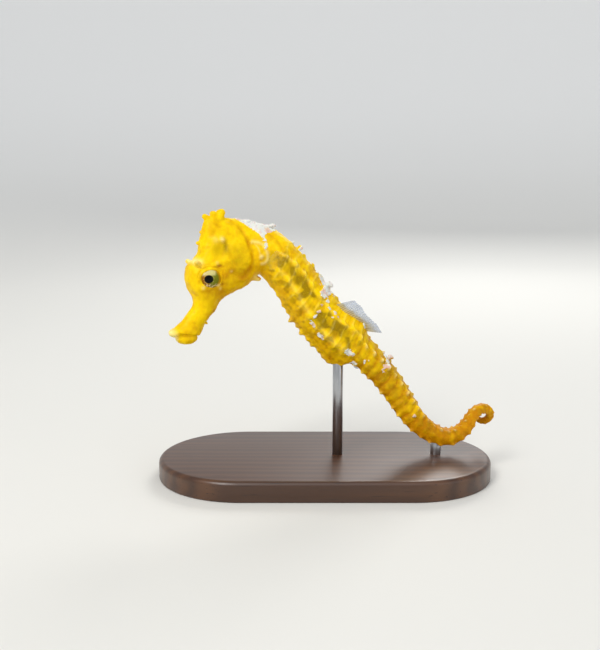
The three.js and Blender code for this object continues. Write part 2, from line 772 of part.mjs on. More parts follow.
addNode('dorsal_fin', medianFin(DORSAL_FIN, true), 'fin');
addNode('anal_fin', medianFin(ANAL_FIN, false), 'fin');
for (const [name, sign] of Object.entries(SIDES)) addNode(`pectoral_fin_${name}`, pectoralFin(sign), 'fin');

// --- stand
function basePlate() {
  const { long, wide, high, bevel } = BASE;
  const flatHalf = (long - wide) / 2;
  const outline = (inset) => {
    const radius = wide / 2 - inset;
    const points = [];
    for (let k = 0; k < BASE.sides; k += 1) {
      const angle = (k + 0.5) * (360 / BASE.sides) * DEG;
      const shift = Math.cos(angle) > 0 ? flatHalf : -flatHalf;
      points.push([shift + radius * Math.cos(angle), radius * Math.sin(angle)]);
    }
    return points;
  };
  const levels = [[0, 0], [0, high - bevel], [bevel * 0.3, high - bevel * 0.3], [bevel, high]];
  return loft(levels.map(([inset, z]) => outline(inset).map(([x, y]) => new THREE.Vector3(x, y, z))));
}

let base = basePlate();
for (const [name, rod] of Object.entries(RODS)) {
  const { x, top } = rodPlace(rod);
  const bottom = BASE.high - ROD_FOOT;
  base = cut(base, rodColumn(x, bottom - GAP, BASE.high + GAP, ROD_RADIUS + GAP));
  addNode(`stand_rod_${name}`, rodColumn(x, bottom, top, ROD_RADIUS), 'steel');
}
addNode('stand_base', base, 'wood');

export default group;
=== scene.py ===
"""A yellow seahorse held over a plain display base: skin, eyes, fins, stand, light, camera.

Shapes are worked out in millimetres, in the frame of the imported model, and turned into
metres when a mesh is made.  The animal faces -X and its left side faces -Y.
"""
import math

import bpy
import numpy as np
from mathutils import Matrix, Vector, kdtree


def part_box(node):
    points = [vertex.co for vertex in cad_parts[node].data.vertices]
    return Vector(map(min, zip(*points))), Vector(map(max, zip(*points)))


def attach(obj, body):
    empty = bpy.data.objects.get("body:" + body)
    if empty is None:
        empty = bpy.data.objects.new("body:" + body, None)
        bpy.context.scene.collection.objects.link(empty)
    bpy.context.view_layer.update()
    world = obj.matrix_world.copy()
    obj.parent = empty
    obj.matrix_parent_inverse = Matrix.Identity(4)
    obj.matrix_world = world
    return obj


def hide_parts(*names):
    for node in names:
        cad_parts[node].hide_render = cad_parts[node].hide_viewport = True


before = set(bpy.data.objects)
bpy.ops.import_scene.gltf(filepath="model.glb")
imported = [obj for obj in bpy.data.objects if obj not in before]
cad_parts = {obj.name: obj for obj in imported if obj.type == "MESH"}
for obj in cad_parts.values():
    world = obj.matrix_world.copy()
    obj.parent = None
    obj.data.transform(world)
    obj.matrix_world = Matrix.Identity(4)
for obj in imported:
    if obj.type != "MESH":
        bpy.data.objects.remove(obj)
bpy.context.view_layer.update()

MM = 0.001

# ---- body line
# Stations are millimetres along the body from the head's back, as in the solids.
LINE_START = (-14.1, 56.1)  # x and z
LINE_STEP = 0.25
TRUNK_START = 2.0
TAIL_TIP = 91.0
# Direction, turn toward the left and roll of the body line in degrees, by station
HEADING = [
    (0, -40), (6, -48), (13, -54), (19, -53), (25, -45), (31, -41), (36, -44), (43, -50),
    (50, -55), (54.5, -52), (58, -41), (61.5, -28), (65, -6), (68, 24), (71, 44),
    (73.5, 55), (76, 38), (79, -15), (83, -115), (87, -245), (91, -400),
]
SWING = [(0, 0), (66, 0), (72, 14), (78, 24), (91, 24)]
ROLL = [(0, 14), (6, 26), (24, 28), (34, 16), (44, 8), (70, 0), (91, 0)]
# Station, then half sizes toward the back, the belly and either side, and squareness
BODY = [
    (0, 5.8, 4.8, 4.0, 2.3), (2, 5.9, 5.3, 4.1, 2.3), (8, 5.6, 5.5, 4.3, 2.4),
    (14, 5.4, 6.2, 4.5, 2.4), (20, 5.6, 6.4, 4.6, 2.4), (23, 5.9, 6.5, 4.5, 2.4),
    (26, 6.6, 6.7, 4.5, 2.4), (29, 7.0, 7.4, 4.3, 2.4), (31, 6.0, 6.7, 4.0, 2.4),
    (32.2, 4.9, 5.6, 3.8, 2.5), (33.6, 4.4, 3.3, 3.6, 2.7), (35, 4.2, 2.4, 3.4, 3.0),
    (40, 3.9, 2.4, 3.1, 3.2), (50, 3.3, 2.6, 2.8, 3.2), (60, 2.5, 2.4, 2.3, 3.0),
    (68, 1.7, 2.1, 1.9, 2.8), (74, 1.5, 1.5, 1.5, 2.6), (82, 1.0, 1.0, 1.0, 2.4),
    (91, 0.4, 0.4, 0.4, 2.0),
]
FIRST_RING = 0.4
# Length of a ring, by station
RING_PITCH = [(0, 3.25), (17, 3.2), (20, 2.85), (26, 2.65), (34, 2.6), (60, 2.5), (72, 1.8),
              (82, 1.1), (91, 0.7)]
# How far a ring lies tailward of its place at mid-back, by angle round
SWEEP = [(0, 0), (25, 0.3), (45, 1.9), (90, 3.4), (140, 3.8), (180, 4.0)]
RING_LINE, RING_SWELL = 0.13, 0.05  # heights of a ring's crest and of its soft swelling
RING_SEAM, TAIL_SWELL = 0.045, 0.13  # depth of a seam between rings, swelling on the tail
RING_WAVER = 0.3  # how far a ring wanders to and fro
RING_LINE_WIDTH, SEAM_WIDTH, KNOB_LENGTH = 0.09, 0.1, 0.18  # shares of a ring's length
RING_FADE, BELLY_FADE = (90, 112), (92, 112)  # angles over which rings fade to the belly
SWEPT_HALF, RIBBED_HALF = 4.4, 3.0  # half widths from which sweep and ribs are at their full size
PANEL_DEPTH = 0.12  # how far the plates of the flank sink between the rings
# Angle from mid-back of each lengthwise ridge, by station
SUPERIOR = [(0.7, 75), (1.4, 60), (3.4, 49), (6.5, 36), (10, 33), (20, 33), (27, 40), (36, 44),
            (91, 44)]
LATERAL = [(2, 107), (4.7, 84), (8, 81), (12, 81), (15, 84), (36, 90), (91, 90)]
INFERIOR = [(0, 138), (91, 138)]
# Ridge, its heights on trunk and tail, and its knobs' heights on trunk and tail
RIDGES = [(SUPERIOR, 0.32, 0.26, 0.42, 0.8), (LATERAL, 0.3, 0.1, 0.18, 0.1),
          (INFERIOR, 0.14, 0.18, 0, 0.6)]
RIDGE_WIDTH = 5.5  # degrees
KNOB_WIDTHS = (8.0, 12.0)  # on trunk and tail
SHOULDER = (2, 6)  # stations over which the flank's ridges rise
TRUNK_TO_TAIL = (30, 36)  # stations over which the trunk's relief gives way to the tail's
# Blunt teeth along the edge of the belly: station and height
BELLY_TEETH = [(6.5, 0.25), (9.6, 0.3), (12.7, 0.42), (14.7, 0.4), (16.8, 1.4), (18.9, 0.5),
               (20.7, 0.95), (22.7, 0.55), (24.1, 0.8), (26.2, 0.35), (27.9, 0.3), (29.6, 0.3)]
TOOTH_WIDTH = 0.58
TOOTH_ANGLES = (152, 17)  # degrees from mid-back, and reach round

# ---- head
PIVOT = (-15.75, 56.5)  # x and z that forward and up are measured from
HEAD_YAW = 26  # degrees
YAW_FROM, YAW_TO = -1, 6  # the neck turns between these, forward of the pivot
# Brow point and throat point (forward, up each), half width, level of the widest place,
# squareness above and below it
HEAD = [
    (3.1, 7.25, 1.7, -6.1, 4.2, 0.5, 2.1, 2.2),
    (5.7, 7.9, 2.9, -7.4, 4.5, 0.56, 1.9, 2.3),
    (8.4, 8.4, 3.9, -8.2, 4.6, 0.6, 1.7, 2.3),
    (10.9, 8.7, 5, -8.8, 4.6, 0.62, 1.6, 2.3),
    (12.9, 8.7, 5.9, -9.2, 4.5, 0.62, 1.6, 2.2),
    (14.4, 7.9, 6.7, -9.4, 4.4, 0.62, 1.7, 2.2),
    (15.0, 6.3, 7.2, -9.6, 4.4, 0.62, 1.8, 2.2),
    (15.4, 4.3, 7.7, -9.9, 4.3, 0.6, 1.9, 2.1),
    (15.8, 2.3, 8.3, -10.1, 4.2, 0.55, 2.1, 2.1),
    (16.1, 0.3, 8.8, -10.4, 4.2, 0.48, 2.3, 2),
    (17.5, -1.6, 9.6, -10.8, 4.2, 0.4, 2.4, 1.9),
    (19.1, -3.5, 10.3, -11.3, 4.2, 0.36, 2.4, 1.9),
    (19.3, -5.9, 11.1, -12, 4.1, 0.36, 2.3, 1.9),
    (18.95, -8.0, 11.6, -12.8, 3.7, 0.38, 2.2, 1.9),
]
SNOUT = [
    (18.0, -10, 11.9, -13.5, 3.1, 0.42, 2.1, 2),
    (17.6, -11.9, 12.45, -14.3, 2.7, 0.46, 2, 2),
    (18.7, -13.8, 13.65, -15.6, 2.4, 0.5, 2, 2),
    (20.2, -15.7, 15.0, -17.35, 2.3, 0.5, 2, 2),
    (21.6, -17.1, 15.8, -19.1, 2.4, 0.5, 2.1, 2.1),
    (23.5, -18.5, 16.4, -19.8, 2.6, 0.48, 2.3, 2.3),
]
NECK = (-1.9, 6.1, 1.2, -5.9, 4.4, 0.5, 2.2, 2.2)
EYE = dict(forward=14.45, up=-5.9, side=2.6, long=3.1, high=2.8, deep=2.35)
LIDS = (2.5, 2.05)  # half length and half height of the opening
# Rim and folds round the eye: distance from its centre in lids, width, height above and below
EYE_RIM = (1.1, 0.12, 0.26)
EYE_FOLDS = [(1.5, 0.1, 0.24, 0), (1.3, 0.07, -0.16, 0), (1.42, 0.1, 0, 0.1), (1.27, 0.06, 0, -0.08)]
SOCKET_DEPTH = 1.9
# Where the gill cover's dome lies, its size and its rays
GILL = dict(forward=7.3, up=-1.0, long=4.2, high=4.3, dome=0.75, rays=24, ray_height=0.05)
SIDES = {"left": 1, "right": -1}
HEAD_LUMPS = [
    # forward, up, reach along and over, height: bumps (+) and hollows (-) of the side
    (11.3, 3.3, 0.7, 0.6, 0.34), (12.9, 3.3, 1.4, 0.6, 0.16), (14.7, 5.1, 0.5, 1.0, 0.16),
    (12.4, 0.7, 1.3, 1.7, -0.36), (10.4, 2.1, 0.6, 1.0, -0.2), (10.9, 0.6, 0.6, 1.0, -0.16),
    (11.6, 6.9, 1.2, 0.8, -0.2), (13.5, 4.7, 0.7, 0.8, -0.16), (9.6, 7.0, 0.9, 0.8, 0.22),
    (4.3, 4.4, 0.9, 1.0, 0.22), (7.0, 4.9, 0.8, 1.2, 0.2), (3.1, 5.0, 0.6, 0.6, 0.15),
    (12.9, -2.4, 0.8, 0.6, 0.28), (11.6, -1.8, 0.7, 0.55, 0.24), (10.2, -1.9, 0.7, 0.7, 0.16),
    (17.1, -3.2, 0.4, 0.3, -0.08), (12.4, -3.0, 0.7, 0.35, -0.24), (11.5, -7.3, 0.45, 0.45, -0.2),
    (15.4, -0.8, 1.3, 0.9, 0.22), (9.9, -8.3, 2.2, 0.9, 0.16), (5.8, -6.6, 1.8, 0.7, 0.16),
    (17.4, -12.8, 0.8, 1.2, 0.12), (19.8, -16.6, 0.7, 0.7, 0.2), (18.4, -17.0, 0.8, 0.4, -0.12),
    (17.4, -8.6, 1.0, 0.8, 0.15), (10.6, -5.2, 0.8, 1.4, 0.12), (8.5, -1.9, 0.8, 0.6, -0.12),
]
CREASES = [
    # line on the side of the head (forward, up), half width, depth, and the strength of the painted
    # amber shade along it
    ([(8.2, 7.5), (6.9, 6.6), (5.6, 4.1), (4.7, 2.3)], 0.4, 0.18, 0.45),
    ([(4.7, 2.3), (3.6, 0.0), (3.3, -2.3), (4.8, -4.0), (5.8, -5.5)], 0.75, 0.2, 0.6),
]
# The bony ring behind the gill cover, as lines and spots on the side (forward, up)
SHOULDER_LOOP = [(3.5, 2.5), (3.1, 2.7), (1.7, 2.5), (-0.2, 2.05), (-1.15, 0.95), (-1.75, -0.4),
                 (-1.7, -1.7), (-1.0, -2.6), (-0.2, -2.7)]
SHOULDER_INNER = [(2.5, 2.2), (1.3, 1.2), (0.65, 0.2), (0.2, -1.2)]
SHOULDER_WIDTHS = (0.38, 0.26)
SHOULDER_BOSS, SHOULDER_SWELL = (-0.05, -1.0, 0.6, 0.5), (0.6, 0.0, 1.7, 2.3)
SHOULDER_HEIGHTS = (0.32, 0.2, 0.35, 0.3)  # of the loop, inner fold, boss and swell
# The slit of the mouth: its height at the tip of the snout, and how it climbs to the back
MOUTH = dict(up=-19.5, forward=23.4, slope=0.25, depth=0.2, width=0.24)
CORONET = [
    # forward, up, side, radius, all of one lobe
    (14.4, 8.6, 0.0, 0.7), (12.2, 9.3, 0.7, 0.78), (12.2, 9.3, -0.7, 0.78),
    (10.4, 9.6, 0.7, 0.98), (10.4, 9.5, -0.7, 0.95),
]
CORONET_FOOT = (11.9, 7.7, 0.0)
LOBE_START, LOBE_STALK = 0.6, 1.25  # share of the way out, and thickness in radii of its tip
LOBE_BLUNT, KNOB_BLUNT = 0.85, 0.8  # share of a stalk's thickness left at its tip
HEAD_THORNS = [
    # foot and tip (forward, up, side), radius, share left at the tip; one that stands off
    # the middle is made on both sides
    ((16.6, -3.1, 2.2), (18.15, -1.8, 3.9), 1.0, 0.6),
    ((3.0, -6.0, 1.0), (0.1, -6.9, 1.3), 1.1, 0.4),
    ((15.0, 2.3, 0.0), (16.7, 2.4, 0.0), 0.62, 0.7),
    ((14.6, 4.8, 0.0), (15.8, 5.0, 0.0), 0.6, 0.6),
    ((14.6, -16.9, 0.0), (14.0, -17.3, 0.0), 0.35, 0.6),
    ((12.6, -13.9, 0.0), (12.1, -14.3, 0.0), 0.35, 0.6),
]
LOWER_JAW = (19.5, -20.3, 0.0, (2.7, 1.65, 2.1))
UPPER_LIP = (22.1, -18.9, 0.0, (1.85, 1.2, 1.9))
NAPE_FLAKES = [
    # forward, up, side and radii of the larger crusts that stand over the nape
    (3.9, 7.35, 0.3, (1.1, 0.45, 1.3)), (2.2, 6.95, 0.5, (0.9, 0.5, 1.1)),
    (0.1, 6.2, 0.4, (0.8, 0.5, 1.0)), (-1.5, 6.25, 0.4, (0.9, 0.4, 1.0)),
    (-2.6, 6.45, 0.6, (0.85, 0.35, 0.8)),
]
KNOB_ROOT = 0.7  # how deep a fleshy knob starts under the skin
# Fleshy knobs: station, angle, height, lean tailward, foot radius and tip size
FLESHY = [(4.4, -24, 0.8, 0.0, 0.6, (0.6, 0.5, 0.55)), (2.6, -20, 0.25, 0.0, 0.35, (0.3, 0.3, 0.3)),
          (14.8, -22, 1.0, 0.5, 0.4, (0.75, 0.4, 0.42)), (39.6, -20, 0.9, 0.7, 0.42, (0.7, 0.5, 0.45)),
          (11.3, -22, 0.2, 0.0, 0.35, (0.3, 0.3, 0.3)), (17.4, -16, 0.2, 0.2, 0.4, (0.4, 0.35, 0.3))]

# ---- markings, with painted shade and highlight among them
# Spots on the side of the head: forward, up, reach along and over, strength; the amber and olive spots
# are mostly painted shade in the head's hollows
HEAD_AMBER_SHADE = [(11.6, 6.7, 1.7, 1.1, 0.35), (9.5, -4.5, 2.6, 2.0, 0.4), (13.4, 4.7, 0.9, 0.9, 0.22),
              (15.0, -9.0, 3.2, 1.7, 0.4), (0.9, 0.2, 1.4, 1.6, 0.3)]
# olive spots laid in the head's hollows: painted shade
HEAD_OLIVE_SHADE = [(10.6, 1.6, 0.6, 1.6, 0.8), (12.6, 1.0, 1.5, 1.7, 0.5), (8.3, -1.9, 1.0, 0.7, 0.4),
              (7.8, -4.0, 2.4, 0.9, 0.3)]
# olive over the gill cover's dome: painted shade
GILL_OLIVE_SHADE = (8.2, 0.6, 2.4, 2.6)
ORBIT_STAINS_AND_SHADE = [  # reddish stains round the orbit, laid in its creases and hollows, so partly painted shade
    (17.4, -2.9, 0.3, 0.22, 0.5), (16.9, -3.3, 0.3, 0.22, 0.5), (12.4, -2.95, 1.0, 0.42, 1.0),
    (11.5, -7.3, 0.4, 0.5, 0.75), (17.2, -5.6, 0.4, 1.3, 0.55), (14.2, -8.6, 1.6, 0.35, 0.25),
    (15.8, -2.6, 1.0, 0.25, 0.2),
]
# Soft bands on the body: station and reach, angle from mid-back and reach, strength
ALL_ROUND = math.inf
BODY_AMBER = [(11, 4, 0, 26, 0.3), (40, 9, 0, ALL_ROUND, 0.42)]
BODY_OLIVE = [(41, 8, 0, ALL_ROUND, 0.3)]
FLANK, LOW_FLANK = (68, 42), (120, 18)  # angle from mid-back and reach
# Stations, then angles from mid-back, over which the body's colours change; the amber on the belly and
# under the tail is painted shade
TAIL_TINT, TAIL_END_TINT, TRUNK_FADE, DARKER_TRUNK = (34, 62), (50, 64), (28, 34), (13, 20)
BELLY_SHADE, BELLY_MIDDLE, UNDER_TAIL_SHADE = (84, 100), (120, 165), (60, 120)
EYE_RIM_SHADOW = (0.98, 0.06, 0.2)  # painted shadow round the eye's opening: distance from the eye's centre in lids, width, strength
PALE_SPOTS = [
    # forward, up, reach, strength: pale tips and knobs of the head
    (17.3, -2.0, 0.8, 0.95), (16.8, -1.9, 0.7, 0.6), (1.4, -6.4, 0.9, 0.8), (16.8, 2.4, 0.55, 0.75),
    (16.0, 5.0, 0.5, 0.5), (11.3, 3.3, 0.55, 0.75), (12.9, 3.2, 0.7, 0.25), (13.8, -17.5, 0.4, 0.5),
    (12.1, -14.4, 0.4, 0.5), (16.4, -8.0, 0.4, 0.55), (12.6, -7.5, 0.4, 0.5), (12.0, -8.4, 0.35, 0.45),
    (14.9, 9.0, 0.5, 0.45), (10.4, 10.4, 0.5, 0.2), (12.9, -2.3, 0.4, 0.25), (9.5, -4.3, 0.3, 0.3),
]
BODY_CRUST = [
    # station, angle, reach along (mm) and round (degrees), strength
    (13.6, -22, 1.6, 16, 1.0), (15.3, -14, 2.3, 20, 1.0), (16.0, 10, 1.3, 20, 1.1),
    (17.2, -24, 1.3, 14, 0.9), (18.0, 20, 0.6, 9, 1.0), (17.8, 44, 0.6, 5, 1.0),
    (19.5, 34, 0.7, 4, 1.0), (21.3, 30, 0.8, 6, 1.0), (22.8, 32, 0.4, 4, 0.9),
    (21.8, 43, 0.4, 4, 0.8), (18.7, 60, 0.35, 3, 0.9), (18.5, 66, 0.3, 3, 0.8),
    (19.0, 78, 0.45, 5, 1.0), (20.3, 93, 1.3, 4, 0.95), (23.5, 96, 1.1, 5, 0.95),
    (31.2, 88, 1.5, 5, 0.9), (29.8, 2, 0.9, 8, 0.85), (34.1, 118, 1.0, 16, 0.8),
    (39.4, -18, 1.3, 22, 1.0), (39.9, 16, 0.7, 18, 1.0), (40.3, 46, 0.7, 16, 1.0),
    (40.7, 70, 0.7, 8, 0.8), (35.9, 86, 0.8, 10, 0.6), (53.8, 22, 0.5, 16, 0.8),
    (54.6, 80, 0.5, 8, 0.7), (52.4, -10, 1.2, 12, 0.5), (5.0, -22, 0.9, 12, 0.8),
    (2.4, -20, 1.4, 10, 0.75), (11.2, -22, 0.7, 8, 0.7), (8.4, -22, 0.5, 8, 0.5),
]
# The crust over the nape: its lower edge on the left side, as up by forward
NAPE_EDGE = [(-4.4, 6.2), (-3.5, 5.3), (-1.2, 4.7), (0.0, 3.9), (1.5, 4.7), (2.4, 5.4), (4.7, 6.75),
             (6.5, 7.75), (7.2, 8.6)]
NAPE_TONGUE, TONGUE_WIDTH = [(-0.3, 4.4), (-0.6, 3.5), (-1.05, 2.35), (-1.25, 1.2)], 0.62
FAR_SIDE = 1.3  # how much higher the crust ends on the right side
CRUST_THICKNESS = 0.12
GRAIN_ON_HEAD, GRAIN_ON_BODY = 0.12, 0.24  # how much the crust's grain stands up
# Layers of noise over the skin: size of their bumps in millimetres, and a seed
WAVER, LINE_BREAKS, COARSE, FINE, PATCHY = (1.9, 6), (1.3, 8), (2.4, 1), (0.8, 2), (1.5, 11)
CRUST_FINE, CRUST_SPECKS, CRUST_GRAINS = (0.75, 2), (0.36, 3), [(0.8, 7), (0.5, 8)]
NOISE_RADIUS = 4  # millimetres: noise goes round the body as round a tube of this radius
# Screen colours, 0..255
YELLOW, AMBER, OLIVE, BURNT_BROWN = (252, 210, 0), (200, 132, 0), (138, 110, 0), (146, 62, 6)
DOT_YELLOW, CREAM = (255, 226, 30), (255, 238, 156)
# the third chalk is darker, painted shade between the crust's flakes
CHALK, PINK_CHALK, CHALK_SHADE = (224, 225, 218), (224, 190, 170), (186, 172, 150)
IRIS_FRONT, IRIS_REAR, IRIS_OUTER = (150, 100, 6), (122, 124, 12), (196, 144, 8)
# the silver above and the pale streaks below the pupil are partly painted highlight
IRIS_SILVER_AND_GLINT, IRIS_LOW_GLINT, IRIS_SPECK = (232, 220, 150), (232, 206, 160), (84, 66, 8)
PUPIL, PUPIL_RING = (2, 2, 4), (206, 186, 120)
FIN_ROOT, FIN_RAY = (206, 176, 20), (226, 222, 196)
FIN_WEB, PECTORAL_WEB = (146, 168, 204), (236, 200, 40)
WOOD_DARK, WOOD_LIGHT, WOOD_PORE = (66, 40, 24), (88, 56, 33), (30, 17, 10)
STEEL_DARK, STEEL_LIGHT = (150, 152, 156), (206, 208, 212)
FLOOR_NEAR, FLOOR_FAR = (226, 225, 220), (252, 252, 250)

# ---- eyes, fins and stand
GAZE = (0.27, -0.03, 0.96)  # forward, up and out, for either eye
PUPIL_ANGLE, PUPIL_RING_ANGLE = 20, 23  # degrees from the gaze
CORNEA = (0.1, 24.0)  # height, and reach in degrees
DORSAL = dict(start=20, end=31, rays=18,
              lean=[(0, 18), (0.2, 7), (0.45, 10), (0.65, 23), (0.85, 38), (1, 54)],
              height=[(0, 4.2), (0.2, 4.4), (0.42, 3.9), (0.62, 2.8), (0.8, 2.6), (1, 3.7)])
ANAL = dict(start=34.2, end=35.6, rays=5, lean=[(0, 30), (1, 50)],
            height=[(0, 0.7), (0.5, 1.3), (1, 0.9)])
PECTORAL = dict(station=0.9, angle=78, root=1.9, reach=3.6, spread=22, flare=16, rays=12)
WEB, RAY = 0.05, 0.2  # thickness of the web and of a ray
RAY_WIDTH = 0.2  # as a share of the way from one ray to the next
FIN_SUNK, FIN_ADDED = 0.3, 0.6  # depth of a median fin's root, and length added for it
RAGGED = 0.03  # how unevenly the fins end, as a share of their height
RUFFLE, RUFFLE_TURN = 0.12, 21  # height of a fin's waves, and radians of them along it
FIN_STEPS, POINTS_PER_RAY = 14, 6
BASE = dict(long=84, wide=44, high=5, bevel=1.2)
BASE_FOOT = [(0.35, 0.0), (0.1, 0.1), (0.0, 0.35)]  # inset and height of its lower edge
ROD_RADIUS = 1.3
ROD_CHAMFER = (0.2, 0.85)  # height, and share of the radius left at the top

# ---- the picture
# Radius and height of the floor's rings, in metres
STAGE_RINGS = [(0.02, 0), (0.35, 0), (0.6, 0.015), (0.9, 0.06), (1.2, 0.14), (1.5, 0.26), (1.8, 0.42),
               (2.1, 0.64), (2.3, 0.85), (2.4, 1.1)]
# Disc lamps: name, place and width in metres, power in watts, tint
LAMPS = [("key", (-0.26, -0.34, 0.46), 0.24, 1.6, (1.0, 0.98, 0.94)),
         ("fill", (0.5, -0.34, 0.22), 0.5, 0.4, (0.95, 0.97, 1.0)),
         ("rim", (0.16, 0.5, 0.42), 0.3, 1.5, (1.0, 0.99, 0.97))]
LAMP_AIM = (-0.006, 0, 0.04)
# Light from far off: name, tilt from straight down, turn about up, softness (degrees), power
SUNS = [("sky", 35, 0, 60, 0.7), ("window", 60, -32, 12, 0.27)]
WORLD_TINT, WORLD_POWER = (0.92, 0.95, 1.0, 1), 0.38
CAMERA_DISTANCE, CAMERA_ELEVATION, CAMERA_AIM = 0.2, 8, (-0.00625, 0, 0.03825)
SENSOR, CLIP_START = 36, 0.005
PHOTO_HEIGHT, PIXEL = 650, 0.00025  # pixels, and metres to a pixel at the animal's middle plane

# ---- how finely it is drawn
ANGLES = 168  # points round a section
YAW_STEPS = 24
HEAD_FINE = 9  # sections between two rows of the head
NECK_FINE = 44  # sections between head and trunk
BODY_FINE = 0.13  # millimetres between sections of the body
HEAD_STATION, NECK_STATION = -10.0, -3.0  # stand-in stations ahead of the body line
HEAD_END, NECK_END = -5.0, 5.0  # stations where the head, and its crust and markings, end
VOXEL = 0.17  # size of the skin's faces
SEAM_ROUNDS = 12  # rounds of smoothing where forms join
# Points round a piece, and steps along it or from pole to pole
EYE_FINE, BLOB_FINE, THORN_FINE = (56, 40), (20, 12), (14, 10)
BASE_SIDES, BEVEL_STEPS, ROD_SIDES, STAGE_SIDES = 128, 9, 40, 96
ACROSS_MOST = (0.3, 0.9, 0.2)  # a direction that no thorn points in
# Uneven skin, as layers of bumps: size and height in millimetres, and a seed.
ROUGHNESS = [(2.3, 0.09, 4), (1.1, 0.07, 5), (0.55, 0.05, 6)]


# ---- arithmetic
HASH_FACTORS, HASH_SCALE, SEED_STEP = (127.1, 311.7, 74.7), 43758.5453, 17.3


def profile(pairs, at):
    """Smooth curve through (station, value) pairs that never overshoots them."""
    table = np.asarray(pairs, float)
    x, y = table[:, 0], table[:, 1]
    span = np.diff(x)
    slope = np.diff(y) / span
    tangent = np.empty(len(x))
    tangent[0], tangent[-1] = slope[0], slope[-1]
    before, after = slope[:-1], slope[1:]
    turning = before * after <= 0
    safe_before = np.where(turning, 1, before)
    safe_after = np.where(turning, 1, after)
    inner = (span[:-1] + span[1:]) / (span[:-1] / safe_before + span[1:] / safe_after)
    tangent[1:-1] = np.where(turning, 0, inner)
    at = np.clip(np.asarray(at, float), x[0], x[-1])
    i = np.clip(np.searchsorted(x, at, side="left") - 1, 0, len(x) - 2)
    t = (at - x[i]) / span[i]
    u = 1 - t
    return ((1 + 2 * t) * u * u * y[i] + t * u * u * span[i] * tangent[i]
            + t * t * (3 - 2 * t) * y[i + 1] - t * t * u * span[i] * tangent[i + 1])


def column(rows, index, at):
    return profile([(row[0], row[index]) for row in rows], at)


def smoothstep(low, high, at):
    t = np.clip((np.asarray(at, float) - low) / (high - low), 0, 1)
    return t * t * (3 - 2 * t)


def mix(a, b, share):
    return a + (b - a) * share


def bell(distance, width):
    return np.exp(-(distance / width) ** 2)


def hash_noise(*cells):
    """A number in 0..1 for whole-number cells, the same on every run."""
    value = np.zeros(np.broadcast(*cells).shape)
    for cell, factor in zip(cells, HASH_FACTORS):
        value = value + np.asarray(cell) * factor
    return np.mod(np.sin(value) * HASH_SCALE, 1.0)


def value_noise(points, size, seed):
    """Smooth noise in -1..1 at points, with cells of the given size."""
    place = points / size + seed * SEED_STEP
    cell = np.floor(place)
    part = place - cell
    part = part * part * (3 - 2 * part)
    total = np.zeros(len(points))
    for corner in range(8):
        step = np.array([corner & 1, corner >> 1 & 1, corner >> 2 & 1])
        weight = np.prod(np.where(step, part, 1 - part), axis=1)
        near = cell + step
        total += weight * hash_noise(near[:, 0], near[:, 1], near[:, 2])
    return total * 2 - 1


# ---- body surface
def directions(station):
    heading = np.radians(profile(HEADING, station))
    swing = np.radians(profile(SWING, station))
    roll = np.radians(profile(ROLL, station))[:, None]
    forward = np.stack([np.cos(heading) * np.cos(swing), np.sin(swing),
                        np.sin(heading) * np.cos(swing)], axis=1)
    upright = np.stack([-np.sin(heading), np.zeros_like(heading), np.cos(heading)], axis=1)
    across = np.cross(forward, upright)
    back = upright * np.cos(roll) + across * np.sin(roll)
    return forward, back, np.cross(forward, back)


def walk_line():
    count = int((TAIL_TIP + 1) / LINE_STEP)
    forward, _, _ = directions((np.arange(count) + 0.5) * LINE_STEP)
    start = np.array([[LINE_START[0], 0, LINE_START[1]]])
    return np.concatenate([start, start + np.cumsum(forward * LINE_STEP, axis=0)])


LINE = walk_line()


def body_frame(station):
    station = np.atleast_1d(np.asarray(station, float))
    at = station / LINE_STEP
    k = np.minimum(at.astype(int), len(LINE) - 2)
    origin = mix(LINE[k], LINE[k + 1], (at - k)[:, None])
    return (origin, *directions(station))


def ring_edges():
    """Where rings meet at mid-back, with a few ahead of the trunk for the sweep."""
    edges = [FIRST_RING]
    while edges[-1] < TAIL_TIP:
        edges.append(edges[-1] + float(profile(RING_PITCH, edges[-1])))
    ahead = [FIRST_RING - RING_PITCH[0][1] * k for k in (2, 1)]
    return np.array(ahead + edges)


EDGES = ring_edges()


def round_noise(station, angle, size, seed):
    """Noise in -1..1 over the body's surface, without a seam where angles meet."""
    turn = np.radians(angle)
    place = np.stack([station, NOISE_RADIUS * np.cos(turn), NOISE_RADIUS * np.sin(turn)], axis=-1)
    return value_noise(place.reshape(-1, 3), size, seed).reshape(np.shape(station))


def ring_at(station, angle):
    """Number of the ring at a place, and the place within that ring (0..1)."""
    sweep = profile(SWEEP, np.abs(angle)) * np.minimum(1, column(BODY, 3, station) / SWEPT_HALF)
    swept = station - sweep + RING_WAVER * round_noise(station, angle, *WAVER)
    number = np.clip(np.searchsorted(EDGES, swept, side="right") - 1, 0, len(EDGES) - 2)
    phase = np.clip((swept - EDGES[number]) / (EDGES[number + 1] - EDGES[number]), 0, 1)
    return number, phase


def panel(station, round_back):
    """1 on the sunken plates of the flank, between the two ridges of the trunk."""
    superior, lateral = profile(SUPERIOR, station), profile(LATERAL, station)
    inside = smoothstep(superior + 1, superior + 13, round_back)
    inside = inside * (1 - smoothstep(lateral - 16, lateral, round_back))
    return inside * (1 - smoothstep(27, 32, station)) * smoothstep(-1, 3, station)


